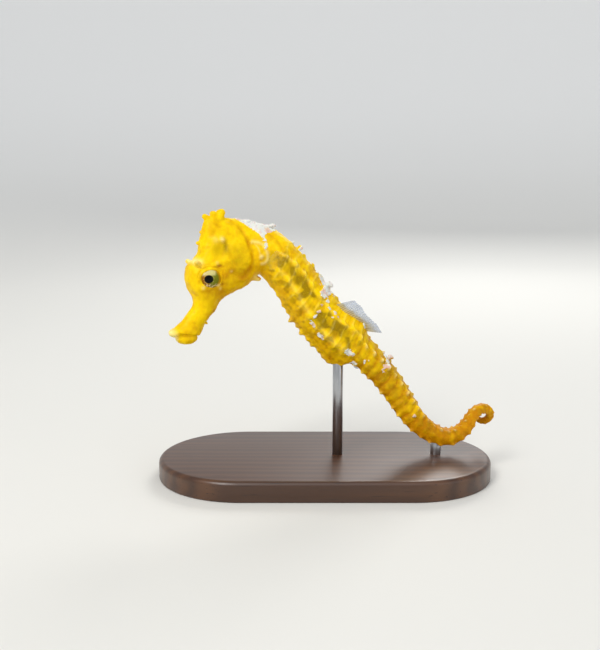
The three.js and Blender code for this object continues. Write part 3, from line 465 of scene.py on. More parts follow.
def ribs(station, angle):
    """Ring, ridge, knob and seam strengths (0..1) and the skin's height at each place."""
    station, angle = np.broadcast_arrays(np.asarray(station, float), np.asarray(angle, float))
    round_back = np.abs(angle)
    number, phase = ring_at(station, angle)
    tail = smoothstep(*TRUNK_TO_TAIL, station)
    upper = 1 - 0.85 * smoothstep(*RING_FADE, round_back)
    plain_belly = 1 - 0.75 * smoothstep(*BELLY_FADE, round_back) * (1 - tail)
    patchy = 0.5 + 0.5 * round_noise(station, angle, *LINE_BREAKS)
    line = bell(phase - 0.5, RING_LINE_WIDTH) * (0.35 + 0.9 * patchy)
    seam = bell(np.minimum(phase, 1 - phase), SEAM_WIDTH) * (0.2 + patchy) * plain_belly
    swell = 0.5 - 0.5 * np.cos(2 * np.pi * phase)
    ring = mix(line * upper, swell * 0.6, tail)
    trunk_ring = line * RING_LINE * upper + swell * RING_SWELL * plain_belly
    height = mix(trunk_ring, swell * TAIL_SWELL, tail) - RING_SEAM * seam
    height = height - PANEL_DEPTH * panel(station, round_back) * (1 - line)
    ridge, knob = np.zeros(station.shape), np.zeros(station.shape)
    for index, (angles, trunk, behind, trunk_knob, tail_knob) in enumerate(RIDGES):
        rise, bump = mix(trunk, behind, tail), mix(trunk_knob, tail_knob, tail)
        onset = smoothstep(*SHOULDER, station) if index else 1.0
        uneven = 0.65 + 0.7 * hash_noise(number, np.full(number.shape, index))
        away = round_back - profile(angles, station)
        crest = bell(away, RIDGE_WIDTH)
        lump = bell(away, mix(*KNOB_WIDTHS, tail)) * bell(phase - 0.5, KNOB_LENGTH)
        height = height + onset * (crest * rise + lump * bump * uneven)
        ridge = np.maximum(ridge, crest * onset * rise / 0.34)
        knob = np.maximum(knob, lump * onset * bump * uneven / 0.55)
    height = height * np.minimum(1, column(BODY, 3, station) / RIBBED_HALF)
    middle, reach = TOOTH_ANGLES
    for at, tall in BELLY_TEETH:
        tooth = bell(station - at, TOOTH_WIDTH) * bell(round_back - middle, reach)
        height = height + tall * tooth
        knob = np.maximum(knob, tooth * min(1, tall))
    return ring, ridge, knob, seam, height


def section(above, below, half, square_above, square_below, angle):
    up, side = np.cos(np.radians(angle)), np.sin(np.radians(angle))
    power = 2 / np.where(up > 0, square_above, square_below)
    rise = np.sign(up) * np.where(up > 0, above, below) * np.abs(up) ** power
    return rise, np.sign(side) * half * np.abs(side) ** power


def body_point(station, angle, lift=0.0):
    """Points on the body's skin at stations and angles, as an (n, 3) array."""
    station = np.atleast_1d(np.asarray(station, float))
    angle = np.broadcast_to(np.asarray(angle, float), station.shape)
    origin, _, back, left = body_frame(station)
    above, below, half, square = (column(BODY, k, station) for k in (1, 2, 3, 4))
    rise, side = section(above, below, half, square, square, angle)
    reach = np.hypot(rise, side)
    grown = ((reach + ribs(station, angle)[-1] + lift) / reach)[:, None]
    return origin + back * rise[:, None] * grown + left * side[:, None] * grown


# ---- head surface
def head_point(forward, up, side):
    """Head coordinates to millimetres in space: the neck swings the head sideways."""
    forward, up, side = np.broadcast_arrays(*(np.asarray(v, float) for v in (forward, up, side)))
    x = np.full(forward.shape, PIVOT[0])
    y = np.zeros(forward.shape)
    for k in range(YAW_STEPS):
        yaw = math.radians(HEAD_YAW) * smoothstep(YAW_FROM, YAW_TO, forward * (k + 0.5) / YAW_STEPS)
        x = x - np.cos(yaw) * forward / YAW_STEPS
        y = y - np.sin(yaw) * forward / YAW_STEPS
    yaw = math.radians(HEAD_YAW) * smoothstep(YAW_FROM, YAW_TO, forward)
    x = x + np.sin(yaw) * side
    y = y - np.cos(yaw) * side
    return np.stack([x, y, PIVOT[1] + up], axis=-1)


def near(forward, up, at_forward, at_up, long, high=None):
    """1 at a spot on the side of the head, fading over the given reaches."""
    return bell(np.hypot((forward - at_forward) / long, (up - at_up) / (high or long)), 1)


def spots(forward, up, table):
    """Strength of every spot of a table (place, reaches, strength) at each place."""
    return [strength * near(forward, up, *spot) for *spot, strength in table]


def near_line(forward, up, start, end, width):
    """1 along a line between two spots on the side of the head, fading outward."""
    start, end = np.array(start, float), np.array(end, float)
    run = end - start
    share = ((forward - start[0]) * run[0] + (up - start[1]) * run[1]) / (run @ run)
    share = np.clip(share, 0, 1)
    return bell(np.hypot(forward - start[0] - share * run[0], up - start[1] - share * run[1]), width)


def near_path(forward, up, path, width):
    """1 along a run of straight lines, fading outward."""
    return np.max([near_line(forward, up, a, b, width) for a, b in zip(path, path[1:])], axis=0)


def round_eye(forward, up):
    """Distance from the eye's centre (1 at the lids) and the direction in degrees."""
    along, over = forward - EYE["forward"], up - EYE["up"]
    return np.hypot(along / LIDS[0], over / LIDS[1]), np.degrees(np.arctan2(over, along))


def flank_relief(forward, up):
    """How far the side of the head stands out (+) or in (-) at each place."""
    eye, turn = round_eye(forward, up)
    rim_at, rim_width, rim_height = EYE_RIM
    rim = rim_height * bell(eye - rim_at, rim_width) * (1 + 0.2 * np.sin(np.radians(7 * turn) + 1))
    upper = smoothstep(-30, 40, turn) * (1 - smoothstep(140, 175, turn))
    folds = sum(mix(under, over, upper) * bell(eye - at, width) for at, width, over, under in EYE_FOLDS)
    socket = -SOCKET_DEPTH * (1 - smoothstep(0.8, 0.95, eye))
    along = (forward - GILL["forward"]) / GILL["long"]
    over = (up - GILL["up"]) / GILL["high"]
    gill = np.hypot(along, over)
    dome = GILL["dome"] * np.clip(1 - gill ** 2, 0, 1) ** 0.75
    spread = np.arctan2(over + 0.55, along - 0.75)
    rays = GILL["ray_height"] * np.sin(spread * GILL["rays"])
    rays = rays * smoothstep(0.15, 0.5, gill) * (gill < 0.97)
    relief = rim + folds + socket + dome + rays + sum(spots(forward, up, HEAD_LUMPS))
    for line, width, depth, _ in CREASES:
        relief = relief - depth * near_path(forward, up, line, width)
    return relief


def shoulder_lines(forward, up):
    """The bony ring behind the gill cover: its outer edge, an inner fold and a boss."""
    outer, inner = (near_path(forward, up, path, width)
                    for path, width in zip((SHOULDER_LOOP, SHOULDER_INNER), SHOULDER_WIDTHS))
    return outer, inner, near(forward, up, *SHOULDER_BOSS)


def shoulder_relief(forward, up):
    forms = (*shoulder_lines(forward, up), near(forward, up, *SHOULDER_SWELL))
    return sum(height * form for height, form in zip(SHOULDER_HEIGHTS, forms))


def side_relief(forward, up):
    return flank_relief(forward, up) + shoulder_relief(forward, up)


def head_rows():
    """Head and snout rows, refined, from the mouth back to the neck."""
    rows = np.array((HEAD + SNOUT)[::-1], float)
    count = (len(rows) - 1) * HEAD_FINE + 1
    at = np.linspace(0, len(rows) - 1, count)
    steps = np.arange(len(rows))
    return np.stack([profile(np.stack([steps, rows[:, c]], axis=1), at)
                     for c in range(rows.shape[1])], axis=1)


def row_section(row, angle):
    """Forward, up and side for one row of the head, at each angle."""
    brow_forward, brow_up, throat_forward, throat_up, half, level, above, below = row
    depth = math.hypot(brow_forward - throat_forward, brow_up - throat_up)
    rise, side = section(depth * level, depth * (1 - level), half, above, below, angle)
    forward = mix(brow_forward, throat_forward, level) + (brow_forward - throat_forward) / depth * rise
    up = mix(brow_up, throat_up, level) + (brow_up - throat_up) / depth * rise
    return forward, up, side


# ---- the skin's grid
def even_angles():
    """Angles round a section from mid-back, in -180..180."""
    turn = np.linspace(0, 360, ANGLES, endpoint=False)
    return np.where(turn > 180, turn - 360, turn)


def side_view(ring):
    """Forward and up, as seen square from the side, of points behind the head."""
    return PIVOT[0] - ring[:, 0], ring[:, 2] - PIVOT[1]


def skin_grid():
    """Sections from mouth to tail tip, with each point's place on the animal.

    A place is forward, up, side, station and angle.  Station is HEAD_STATION on the
    head; forward and up carry on smoothly from the head into the neck and trunk.
    """
    angle = even_angles()
    outward = np.sign(np.sin(np.radians(angle))) * np.abs(np.sin(np.radians(angle))) ** 0.5
    points, places = [], []

    def add(ring, forward, up, side, station):
        points.append(ring)
        places.append(np.stack([forward, up, side, np.full(ANGLES, station), angle], axis=1))

    for row in head_rows():
        forward, up, side = row_section(row, angle)
        side = side + outward * side_relief(forward, up)
        add(head_point(forward, up, side), forward, up, side, HEAD_STATION)
    forward, up, side = row_section(HEAD[0], angle)
    front = head_point(forward, up, side)
    joint = np.stack([forward, up]) - side_view(front)
    middle = head_point(*row_section(NECK, angle))
    rear = body_point(np.full(ANGLES, TRUNK_START), angle)
    bow = middle - (front + rear) / 2
    for share in np.linspace(0, 1, NECK_FINE)[1:-1]:
        ring = mix(front, rear, share) + bow * 4 * share * (1 - share)
        forward, up = side_view(ring) + joint * (1 - smoothstep(0, 0.7, share))
        ring[:, 1] -= outward * side_relief(forward, up)
        add(ring, forward, up, -ring[:, 1], mix(NECK_STATION, TRUNK_START, share))
    for station in np.arange(TRUNK_START, TAIL_TIP, BODY_FINE):
        ring = body_point(np.full(ANGLES, station), angle)
        forward, up = side_view(ring)
        ring[:, 1] -= outward * shoulder_relief(forward, up)
        add(ring, forward, up, -ring[:, 1], station)
    return np.array(points), np.array(places)


def closed_grid(points):
    """Vertices and faces of a run of closed rings with capped ends."""
    rings, count, _ = points.shape
    hubs = np.array([points[0].mean(axis=0), points[-1].mean(axis=0)])
    first, last = rings * count, rings * count + 1
    faces = []
    for k in range(count):
        following = (k + 1) % count
        for row in range(0, (rings - 1) * count, count):
            faces.append((row + k, row + following, row + count + following, row + count + k))
        faces.append((first, following, k))
        faces.append((last, last - 1 - count + k, last - 1 - count + following))
    return np.concatenate([points.reshape(-1, 3), hubs]), faces


# ---- small solids
def ellipsoid(place, radii, around, tall):
    """An ellipsoid whose points are placed by a function of three offsets."""
    turn = np.linspace(0, 2 * math.pi, around, endpoint=False)
    tilt = np.linspace(0, math.pi, tall + 1)[1:-1]
    rings = np.stack([
        np.stack([np.sin(t) * np.cos(turn) * radii[0], np.sin(t) * np.sin(turn) * radii[1],
                  np.full(around, math.cos(t) * radii[2])], axis=1)
        for t in tilt])
    flat = rings.reshape(-1, 3)
    points = place(flat[:, 0], flat[:, 1], flat[:, 2]).reshape(rings.shape)
    vertices, faces = closed_grid(points)
    vertices[-2:] = place(np.zeros(2), np.zeros(2), np.array([radii[2], -radii[2]]))
    return vertices, faces


def head_blob(forward, up, side, radii):
    return ellipsoid(lambda a, b, c: head_point(forward + a, up + b, side + c), radii, *BLOB_FINE)


def thorn(foot, tip, radius, blunt):
    """A tapering spine with a rounded tip; blunt is the share of its radius left there."""
    foot, tip = np.asarray(foot, float), np.asarray(tip, float)
    length = np.linalg.norm(tip - foot)
    along = (tip - foot) / length
    side = np.cross(along, ACROSS_MOST)
    side /= np.linalg.norm(side)
    over = np.cross(along, side)
    turn = np.linspace(0, 2 * math.pi, THORN_FINE[0], endpoint=False)
    rings = []
    for share in np.linspace(0, 1, THORN_FINE[1]):
        width = radius * mix(1, blunt, share ** 0.7) * math.sqrt(max(1 - share ** 8, 0.02))
        rings.append(foot + along * length * share
                     + width * (np.cos(turn)[:, None] * side + np.sin(turn)[:, None] * over))
    return closed_grid(np.array(rings))


def joined(solids):
    vertices, faces, base = [], [], 0
    for points, quads in solids:
        vertices.append(points)
        faces.extend(tuple(base + v for v in quad) for quad in quads)
        base += len(points)
    return np.concatenate(vertices), faces


def new_object(name, vertices, faces, scale=MM):
    mesh = bpy.data.meshes.new(name)
    mesh.from_pydata((np.asarray(vertices) * scale).tolist(), [], faces)
    mesh.update()
    piece = bpy.data.objects.new(name, mesh)
    bpy.context.scene.collection.objects.link(piece)
    return piece


def shade_smooth(piece):
    piece.data.polygons.foreach_set("use_smooth", np.ones(len(piece.data.polygons), bool))


def dress(piece, material, nodes, painted):
    """Give a piece its shading, material, painted attributes and place in the frame."""
    shade_smooth(piece)
    piece.data.materials.append(material)
    for name, values in painted.items():
        layer = piece.data.attributes.new(name, "FLOAT", "POINT")
        layer.data.foreach_set("value", np.asarray(values, np.float32))
    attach(piece, "root")
    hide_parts(*nodes)


def ornaments():
    solids = []
    foot = np.array(CORONET_FOOT)
    for *tip, radius in CORONET:
        root = head_point(*mix(foot, (tip[0], foot[1], tip[2]), LOBE_START))
        solids.append(thorn(root, head_point(*tip), LOBE_STALK * radius, LOBE_BLUNT))
        solids.append(head_blob(*tip, (radius,) * 3))
    for forward, up, side, radii in NAPE_FLAKES + [LOWER_JAW, UPPER_LIP]:
        solids.append(head_blob(forward, up, side, radii))
    for foot, tip, radius, blunt in HEAD_THORNS:
        for sign in ((1, -1) if foot[2] else (1,)):
            ends = [head_point(f, u, sign * s) for f, u, s in (foot, tip)]
            solids.append(thorn(*ends, radius, blunt))
    for station, angle, height, lean, foot_radius, size in FLESHY:
        foot = body_point(station, angle, -KNOB_ROOT)[0]
        tip = body_point(station + lean, angle, height)[0]
        along, across = body_frame(station)[1][0], tip - foot
        across = across / np.linalg.norm(across)
        third = np.cross(along, across)
        solids.append(thorn(foot, tip, foot_radius, KNOB_BLUNT))
        solids.append(ellipsoid(lambda a, b, c: tip + a[:, None] * along + b[:, None] * across
                                + c[:, None] * third, size, *BLOB_FINE))
    return solids


# ---- the skin
def remeshed(vertices, faces):
    """One closed skin round everything, as even quads, in millimetres."""
    draft = new_object("skin_draft", vertices, faces, scale=1.0)
    remesh = draft.modifiers.new("remesh", "REMESH")
    remesh.mode = "VOXEL"
    remesh.voxel_size = VOXEL
    mesh = draft.evaluated_get(bpy.context.evaluated_depsgraph_get()).to_mesh()
    points = np.array([vertex.co for vertex in mesh.vertices], float)
    quads = [tuple(face.vertices) for face in mesh.polygons]
    edges = np.array([tuple(edge.vertices) for edge in mesh.edges])
    bpy.data.objects.remove(draft)
    return points, quads, edges


def relaxed(points, edges, rounds):
    """Points moved half way to the mean of their neighbours, some times over."""
    count = np.bincount(edges.ravel(), minlength=len(points))[:, None]
    for _ in range(rounds):
        total = np.zeros_like(points)
        np.add.at(total, edges[:, 0], points[edges[:, 1]])
        np.add.at(total, edges[:, 1], points[edges[:, 0]])
        points = mix(points, total / count, 0.5)
    return points


def vertex_normals(points, quads):
    corner = np.array([quad[:4] if len(quad) > 3 else quad + quad[:1] for quad in quads])
    normal = np.cross(points[corner[:, 2]] - points[corner[:, 0]],
                      points[corner[:, 3]] - points[corner[:, 1]])
    total = np.zeros_like(points)
    for k in range(4):
        np.add.at(total, corner[:, k], normal)
    return total / np.maximum(np.linalg.norm(total, axis=1, keepdims=True), 1e-12)


def nearest_places(points, grid, places):
    """Each point's place on the animal, read from the nearest point of the grid."""
    flat, facts = grid.reshape(-1, 3), places.reshape(-1, places.shape[2])
    tree = kdtree.KDTree(len(flat))
    for k, point in enumerate(flat):
        tree.insert(point, k)
    tree.balance()
    nearest = np.array([tree.find(point)[1] for point in points])
    return facts[nearest]


def crust_mask(points, forward, up, side, station, angle):
    fine, speck = (value_noise(points, *kind) for kind in (CRUST_FINE, CRUST_SPECKS))
    crust = np.zeros(len(points))
    for at, where, along, around, strength in BODY_CRUST:
        apart = np.abs((angle - where + 180) % 360 - 180)
        crust = np.maximum(crust, strength * bell(np.hypot((station - at) / along, apart / around), 1))
    crust = crust * (station >= TRUNK_START)
    edge = profile(NAPE_EDGE, forward) + FAR_SIDE * smoothstep(0, -1.5, side)
    rear, front = NAPE_EDGE[0][0], NAPE_EDGE[-1][0]
    nape = 1.05 * smoothstep(-0.7, 0.6, up - edge)
    nape = nape * smoothstep(front, front - 0.8, forward) * smoothstep(rear - 0.3, rear + 1.1, forward)
    tongue = 0.62 * near_path(forward, up, NAPE_TONGUE, TONGUE_WIDTH) * (side > 0)
    crust = np.maximum(crust, np.maximum(nape, tongue) * (station < NECK_END))
    broken = 0.26 * fine + mix(0.24, 0.4, station > NECK_END) * speck
    return smoothstep(0.3, 0.62, crust + broken * smoothstep(0.05, 0.35, crust))


def head_tones(forward, up, coarse):
    """Amber and olive shares on the head, mostly painted shade: over the lower head, under the snout,
    along the creases, in the hollows and on the gill cover.
    """
    # painted shade over the lower head and jaw
    amber_and_shade = 0.06 + 0.46 * smoothstep(-3, -9.5, up) * smoothstep(16.5, 11.5, forward)
    # painted shade along the creases
    for line, width, _, strength in CREASES:
        amber_and_shade = amber_and_shade + strength * near_path(forward, up, line, 1.5 * width)
    # painted shade under the snout
    under_snout_shade = smoothstep(1.5, -1.2, forward - 17 - 0.9 * (-11 - up))
    amber_and_shade = amber_and_shade + 0.12 * smoothstep(-11, -19, up) * under_snout_shade
    # painted shade on the gill cover's dome
    gill = 0.3 * near(forward, up, *GILL_OLIVE_SHADE) * (0.9 + 0.5 * coarse)
    return amber_and_shade + sum(spots(forward, up, HEAD_AMBER_SHADE)), gill + sum(spots(forward, up, HEAD_OLIVE_SHADE))


def bands(station, round_back, table):
    """Strength of every band of a table at each place."""
    return [strength * bell(station - at, along) * bell(round_back - angle, around)
            for at, along, angle, around, strength in table]


def body_tones(station, round_back, on_body, edge, seam, coarse, fine, patchy):
    """Amber and olive shares on the neck, trunk and tail: the amber is the tail's own tone with painted
    shade on the underside and in the seams between rings and painted highlight along the crests, and
    the olive is mottled tone with painted shade on the sunken plates.
    """
    tail = smoothstep(*TAIL_TINT, station)
    trunk = on_body * (1 - smoothstep(*TRUNK_FADE, station))
    # painted shade on the underside
    belly_shade = smoothstep(*BELLY_SHADE, round_back) * (1 - 0.5 * smoothstep(*BELLY_MIDDLE, round_back))
    amber_and_shade = 0.16 + 0.26 * belly_shade * (1 - tail) + sum(bands(station, round_back, BODY_AMBER))
    # the tail's own amber, with painted shade under it
    amber_and_shade = amber_and_shade + tail * (0.5 + 0.15 * smoothstep(*UNDER_TAIL_SHADE, round_back))
    amber_and_shade = amber_and_shade + 0.35 * tail * smoothstep(*TAIL_END_TINT, station)
    # painted highlight (less amber) along ring and ridge crests, painted shade (more amber) in the
    # seams between rings
    amber_and_shade = amber_and_shade - 0.35 * edge * (1 - 0.4 * tail) + 0.4 * seam
    # olive on the sunken plates between the ridges is painted shade; the flank bands below are mottled
    # tone
    panel_shade = (0.56 + 0.5 * coarse + 0.3 * patchy) * mix(1, 0.8, smoothstep(*DARKER_TRUNK, station))
    olive_and_shade = panel(station, round_back) * panel_shade * (1 - 0.6 * edge)
    olive_and_shade = olive_and_shade + on_body * sum(bands(station, round_back, BODY_OLIVE))
    angle, reach = FLANK
    flank = bell(round_back - angle, reach) * (0.5 * trunk + 0.35 * on_body)
    olive_and_shade = olive_and_shade + flank * smoothstep(-0.1, 0.6, patchy + 0.5 * fine)
    angle, reach = LOW_FLANK
    olive_and_shade = olive_and_shade + 0.25 * trunk * bell(round_back - angle, reach) * smoothstep(0.1, 0.5, fine)
    return amber_and_shade, olive_and_shade


def pale_mask(forward, up, station, edge, knob, fine):
    """Cream on the lips, thorn tips, shoulder ring and knobs, and a faint painted highlight along the
    trunk's ring crests.
    """
    on_head, on_body = station < HEAD_END, station >= TRUNK_START
    tail, trunk = smoothstep(*TAIL_TINT, station), 1 - smoothstep(*TRUNK_FADE, station)
    lips = 0.9 * smoothstep(21.6, 23.4, forward - 0.35 * (up + 19)) * on_head * (0.85 + 0.3 * fine)
    tips = np.max(spots(forward, up, PALE_SPOTS), axis=0) * (station < NECK_END)
    outer, inner, boss = shoulder_lines(forward, up)
    collar = np.max([0.45 * outer, 0.25 * inner, 0.85 * boss], axis=0) * (station < NECK_END)
    # painted highlight along the ring and ridge crests of the trunk
    rings = 0.14 * trunk * on_body * edge * smoothstep(-0.6, 0.3, fine)
    knobs = on_body * knob ** 2 * (mix(0.36, 0.2, tail) + 0.3 * fine)
    return np.max([lips, tips, collar, rings, knobs], axis=0)


def paint_masks(points, places):
    """Named masks in 0..1 that the skin's material mixes its colours by."""
    forward, up, side, station, angle = places.T
    on_head, on_body = station < HEAD_END, station >= TRUNK_START
    coarse, fine, patchy = (value_noise(points, *kind) for kind in (COARSE, FINE, PATCHY))
    ring, ridge, knob, seam, _ = ribs(np.maximum(station, TRUNK_START), angle)
    edge = np.maximum(ring, ridge) * on_body
    head_amber_shade, head_olive_shade = head_tones(forward, up, coarse)
    body_amber_and_shade, body_olive_and_shade = body_tones(station, np.abs(angle), on_body, edge, seam,
                                        coarse, fine, patchy)
    eye, _ = round_eye(forward, up)
    # painted shadow round the eye's opening, with the orbit's stains and crease shade
    rim_at, rim_width, rim_strength = EYE_RIM_SHADOW
    stain_and_shade = np.max([rim_strength * bell(eye - rim_at, rim_width), *spots(forward, up, ORBIT_STAINS_AND_SHADE)], axis=0)
    masks = {
        "amber_and_shade": np.where(on_head, head_amber_shade, body_amber_and_shade) + 0.2 * (coarse + fine),
        "olive_and_shade": np.where(on_head, head_olive_shade, body_olive_and_shade),
        "stain_and_shade": stain_and_shade * on_head * (0.75 + 0.4 * fine),
        "pale": pale_mask(forward, up, station, edge, knob, fine),
        "crust": crust_mask(points, forward, up, side, station, angle),
    }
    return {name: np.clip(mask, 0, 1) for name, mask in masks.items()}


def mouth_groove(places):
    """Depth of the slit between the lips, which is cut round the end of the snout."""
    forward, up, _, station, _ = places.T
    line = MOUTH["up"] - MOUTH["slope"] * (MOUTH["forward"] - forward)
    slit = MOUTH["depth"] * bell(up - line, MOUTH["width"])
    return slit * smoothstep(19.2, 21.0, forward) * (station < HEAD_END)


def blended_share(places):
    """How much the seams of joined forms are smoothed: most at the lips and the coronet."""
    forward, up, _, station, _ = places.T
    lips, crown = smoothstep(18.5, 20.5, forward), smoothstep(7.6, 8.6, up)
    return np.maximum(0.9 * lips, 0.8 * crown) * (station < HEAD_END)


def build_skin(material):
    grid, places = skin_grid()
    points, quads, edges = remeshed(*joined([closed_grid(grid)] + ornaments()))
    points = relaxed(points, edges, 2)
    facts = nearest_places(points, grid, places)
    points = mix(points, relaxed(points, edges, SEAM_ROUNDS), blended_share(facts)[:, None])
    masks = paint_masks(points, facts)
    rough = sum(height * value_noise(points, size, seed) for size, height, seed in ROUGHNESS)
    grains = np.max([value_noise(points, *kind) for kind in CRUST_GRAINS], axis=0)
    grainy = mix(GRAIN_ON_HEAD, GRAIN_ON_BODY, facts[:, 3] > NECK_END)
    crusty = masks["crust"] * (CRUST_THICKNESS + grainy * grains)
    lift = rough + crusty - mouth_groove(facts)
    skin = new_object("skin", points + vertex_normals(points, quads) * lift[:, None], quads)
    nodes = ("head", "snout", "lower_jaw", "coronet", "gill_cover_left", "gill_cover_right",
             "neck", "trunk_upper", "trunk_middle", "trunk_lower", "tail_base", "tail_upper",
             "tail_middle", "tail_bend", "tail_curl")
    dress(skin, material, nodes, masks)


# ---- materials
def colour(red, green, blue):
    """Screen colour (0..255) to the linear colour that shaders use."""
    def linear(value):
        value /= 255
        return value / 12.92 if value <= 0.04045 else ((value + 0.055) / 1.055) ** 2.4
    return (linear(red), linear(green), linear(blue), 1.0)


class Shader:
    """A material's node tree, with short calls to add nodes and link them."""

    def __init__(self, name):
        self.material = bpy.data.materials.new(name)
        self.material.use_nodes = True
        self.tree = self.material.node_tree
        self.surface = self.tree.nodes["Principled BSDF"]

    def place(self, socket, value):
        if isinstance(value, bpy.types.NodeSocket):
            self.tree.links.new(value, socket)
        else:
            socket.default_value = value

    def node(self, kind, inputs, output, **settings):
        """The output socket of a new node, with its settings made and its inputs filled."""
        made = self.tree.nodes.new(kind)
        for key, value in settings.items():
            setattr(made, key, value)
        for key, value in inputs.items():
            self.place(made.inputs[key], value)
        return made.outputs[output]

    def attribute(self, name):
        return self.node("ShaderNodeAttribute", {}, "Fac", attribute_name=name)

    def position(self, stretch=(1, 1, 1)):
        """Object coordinates in millimetres, stretched along each axis."""
        place = self.node("ShaderNodeTexCoord", {}, "Object")
        scale = [share / MM for share in stretch]
        return self.node("ShaderNodeMapping", {"Vector": place, "Scale": scale}, "Vector")

    def noise(self, scale, detail, stretch=(1, 1, 1)):
        inputs = {"Vector": self.position(stretch), "Scale": scale, "Detail": detail}
        return self.node("ShaderNodeTexNoise", inputs, "Fac")

    def cells(self, scale):
        inputs = {"Vector": self.position(), "Scale": scale}
        return self.node("ShaderNodeTexVoronoi", inputs, "Distance")

    def math(self, operation, first, second=0.0, clamp=False):
        return self.node("ShaderNodeMath", {0: first, 1: second}, 0, operation=operation,
                         use_clamp=clamp)

    def times(self, first, second):
        return self.math("MULTIPLY", first, second)

    def plus(self, first, second, clamp=False):
        return self.math("ADD", first, second, clamp)

    def swing(self, value, reach):
        """A noise in 0..1 made to swing by half the reach to either side of nought."""
        return self.times(self.math("SUBTRACT", value, 0.5), reach)

    def ramp(self, value, low, high):
        """Value mapped from low..high to 0..1, eased and clamped."""
        inputs = {"Value": value, "From Min": low, "From Max": high}
        return self.node("ShaderNodeMapRange", inputs, "Result", interpolation_type="SMOOTHSTEP")

    def layers(self, tone, *coats):
        """A screen colour with others laid over it, each after the share it covers."""
        tone = colour(*tone)
        for share, coat in coats:
            coat = colour(*coat) if isinstance(coat, tuple) else coat
            tone = self.node("ShaderNodeMix", {0: share, 6: tone, 7: coat}, 2, data_type="RGBA")
        return tone

    def bump(self, height, strength, distance, **below):
        inputs = {"Height": height, "Strength": strength, "Distance": distance * MM}
        return self.node("ShaderNodeBump", inputs | below, "Normal")

    def set(self, **values):
        for key, value in values.items():
            self.place(self.surface.inputs[key.replace("_", " ")], value)


def skin_material():
    """Yellow with amber, olive and pale markings, and a chalky crust over them; much of the amber and
    olive is painted shade, some of the pale is painted highlight along the trunk's ring crests, and the
    burnt brown includes a painted shadow round the eye.
    """
    shader = Shader("seahorse_skin")
    grain = shader.noise(3.2, 3)
    mottle = shader.swing(shader.noise(0.55, 4), 0.8)
    pits = shader.bump(shader.cells(3.4), 0.35, 0.06)
    chalk = shader.layers(
        CHALK,
        (shader.ramp(shader.noise(0.4, 2), 0.5, 0.62), PINK_CHALK),
        # darker chalk in noise patches: painted shade between the crust's flakes
        (shader.times(shader.ramp(shader.noise(1.7, 3), 0.42, 0.3), 0.6), CHALK_SHADE))
    flakes = shader.ramp(shader.plus(shader.attribute("crust"), shader.swing(grain, 0.7)), 0.3, 0.72)
    skin = shader.layers(
        YELLOW,
        (shader.plus(shader.attribute("amber_and_shade"), mottle, clamp=True), AMBER),
        (shader.times(shader.attribute("olive_and_shade"), 0.85), OLIVE),
        (shader.times(shader.attribute("stain_and_shade"), shader.ramp(grain, 0.15, 0.45)), BURNT_BROWN),
        (shader.times(shader.ramp(shader.cells(1.9), 0.26, 0.12), 0.22), DOT_YELLOW),
        (shader.attribute("pale"), CREAM),
        (flakes, chalk))
    shader.set(Base_Color=skin, Roughness=shader.plus(shader.times(flakes, 0.27), 0.48),
               Subsurface_Weight=0.12, Subsurface_Scale=MM, Subsurface_Radius=(1.0, 0.5, 0.08),
               Coat_Weight=0.03, Coat_Roughness=0.25, Specular_IOR_Level=0.08,
               Normal=shader.bump(shader.noise(5.5, 4), 0.4, 0.05, Normal=pits))
    return shader.material


def eye_material():
    """Black pupil, thin pale ring, and an iris that is olive behind and silver above the pupil, the
    silver partly a painted highlight, with pale painted highlight streaks below the pupil.
    """
    shader = Shader("seahorse_eye")
    out = shader.attribute("gaze")
    streaks = shader.noise(2.6, 4)
    clouds = shader.plus(shader.times(shader.noise(7.0, 2), 0.5), 0.5)
    off_ring = shader.math("ABSOLUTE", shader.math("SUBTRACT", out, PUPIL_RING_ANGLE))
    ring = shader.times(shader.ramp(off_ring, 3.0, 0.8), shader.ramp(streaks, 0.42, 0.62))
    iris = shader.layers(
        IRIS_FRONT,
        (shader.attribute("rear"), IRIS_REAR),
        (shader.ramp(out, 46, 60), IRIS_OUTER),
        # silvery iris with painted highlight above the pupil, painted highlight streaks below it
        (shader.times(shader.attribute("above"), clouds), IRIS_SILVER_AND_GLINT),
        (shader.times(shader.attribute("below"), shader.ramp(streaks, 0.45, 0.58)), IRIS_LOW_GLINT),
        (shader.times(ring, 0.5), PUPIL_RING),
        (shader.ramp(shader.noise(9.0, 3), 0.55, 0.85), IRIS_SPECK),
        (shader.ramp(out, PUPIL_ANGLE + 1, PUPIL_ANGLE - 1), PUPIL))
    shader.set(Base_Color=iris, Roughness=0.3, Coat_Weight=0.14, Coat_Roughness=0.05,
               Specular_IOR_Level=0.08)
    return shader.material


def fin_material(name, tint, opacity, ray_opacity):
    """Thin membrane between rays; the rays are denser than the web."""
    shader = Shader(name)
    ray = shader.attribute("ray")
    root = shader.attribute("root")
    dense = shader.plus(shader.times(ray, ray_opacity), opacity)
    shader.set(Base_Color=shader.layers(tint, (root, FIN_ROOT), (shader.times(ray, 0.5), FIN_RAY)),
               Alpha=shader.plus(dense, shader.times(root, 2 * opacity), clamp=True),
               Roughness=0.3, Specular_IOR_Level=0.3,
               Normal=shader.bump(shader.noise(4.0, 3), 0.25, 0.04))
    return shader.material


def wood_material():
    shader = Shader("stand_wood")
    pores = shader.noise(2.6, 4, stretch=(0.05, 1, 1))
    inputs = {"Vector": shader.position((0.06, 1, 1)), "Scale": 0.1, "Distortion": 9.0, "Detail": 3.0}
    bands = shader.node("ShaderNodeTexWave", inputs, "Fac", wave_type="BANDS", bands_direction="Y")
    tone = shader.layers(WOOD_DARK, (bands, WOOD_LIGHT), (shader.ramp(pores, 0.6, 0.75), WOOD_PORE))
    shader.set(Base_Color=tone, Roughness=0.38, Coat_Weight=0.25, Coat_Roughness=0.2,
               Normal=shader.bump(pores, 0.25, 0.06))
    return shader.material


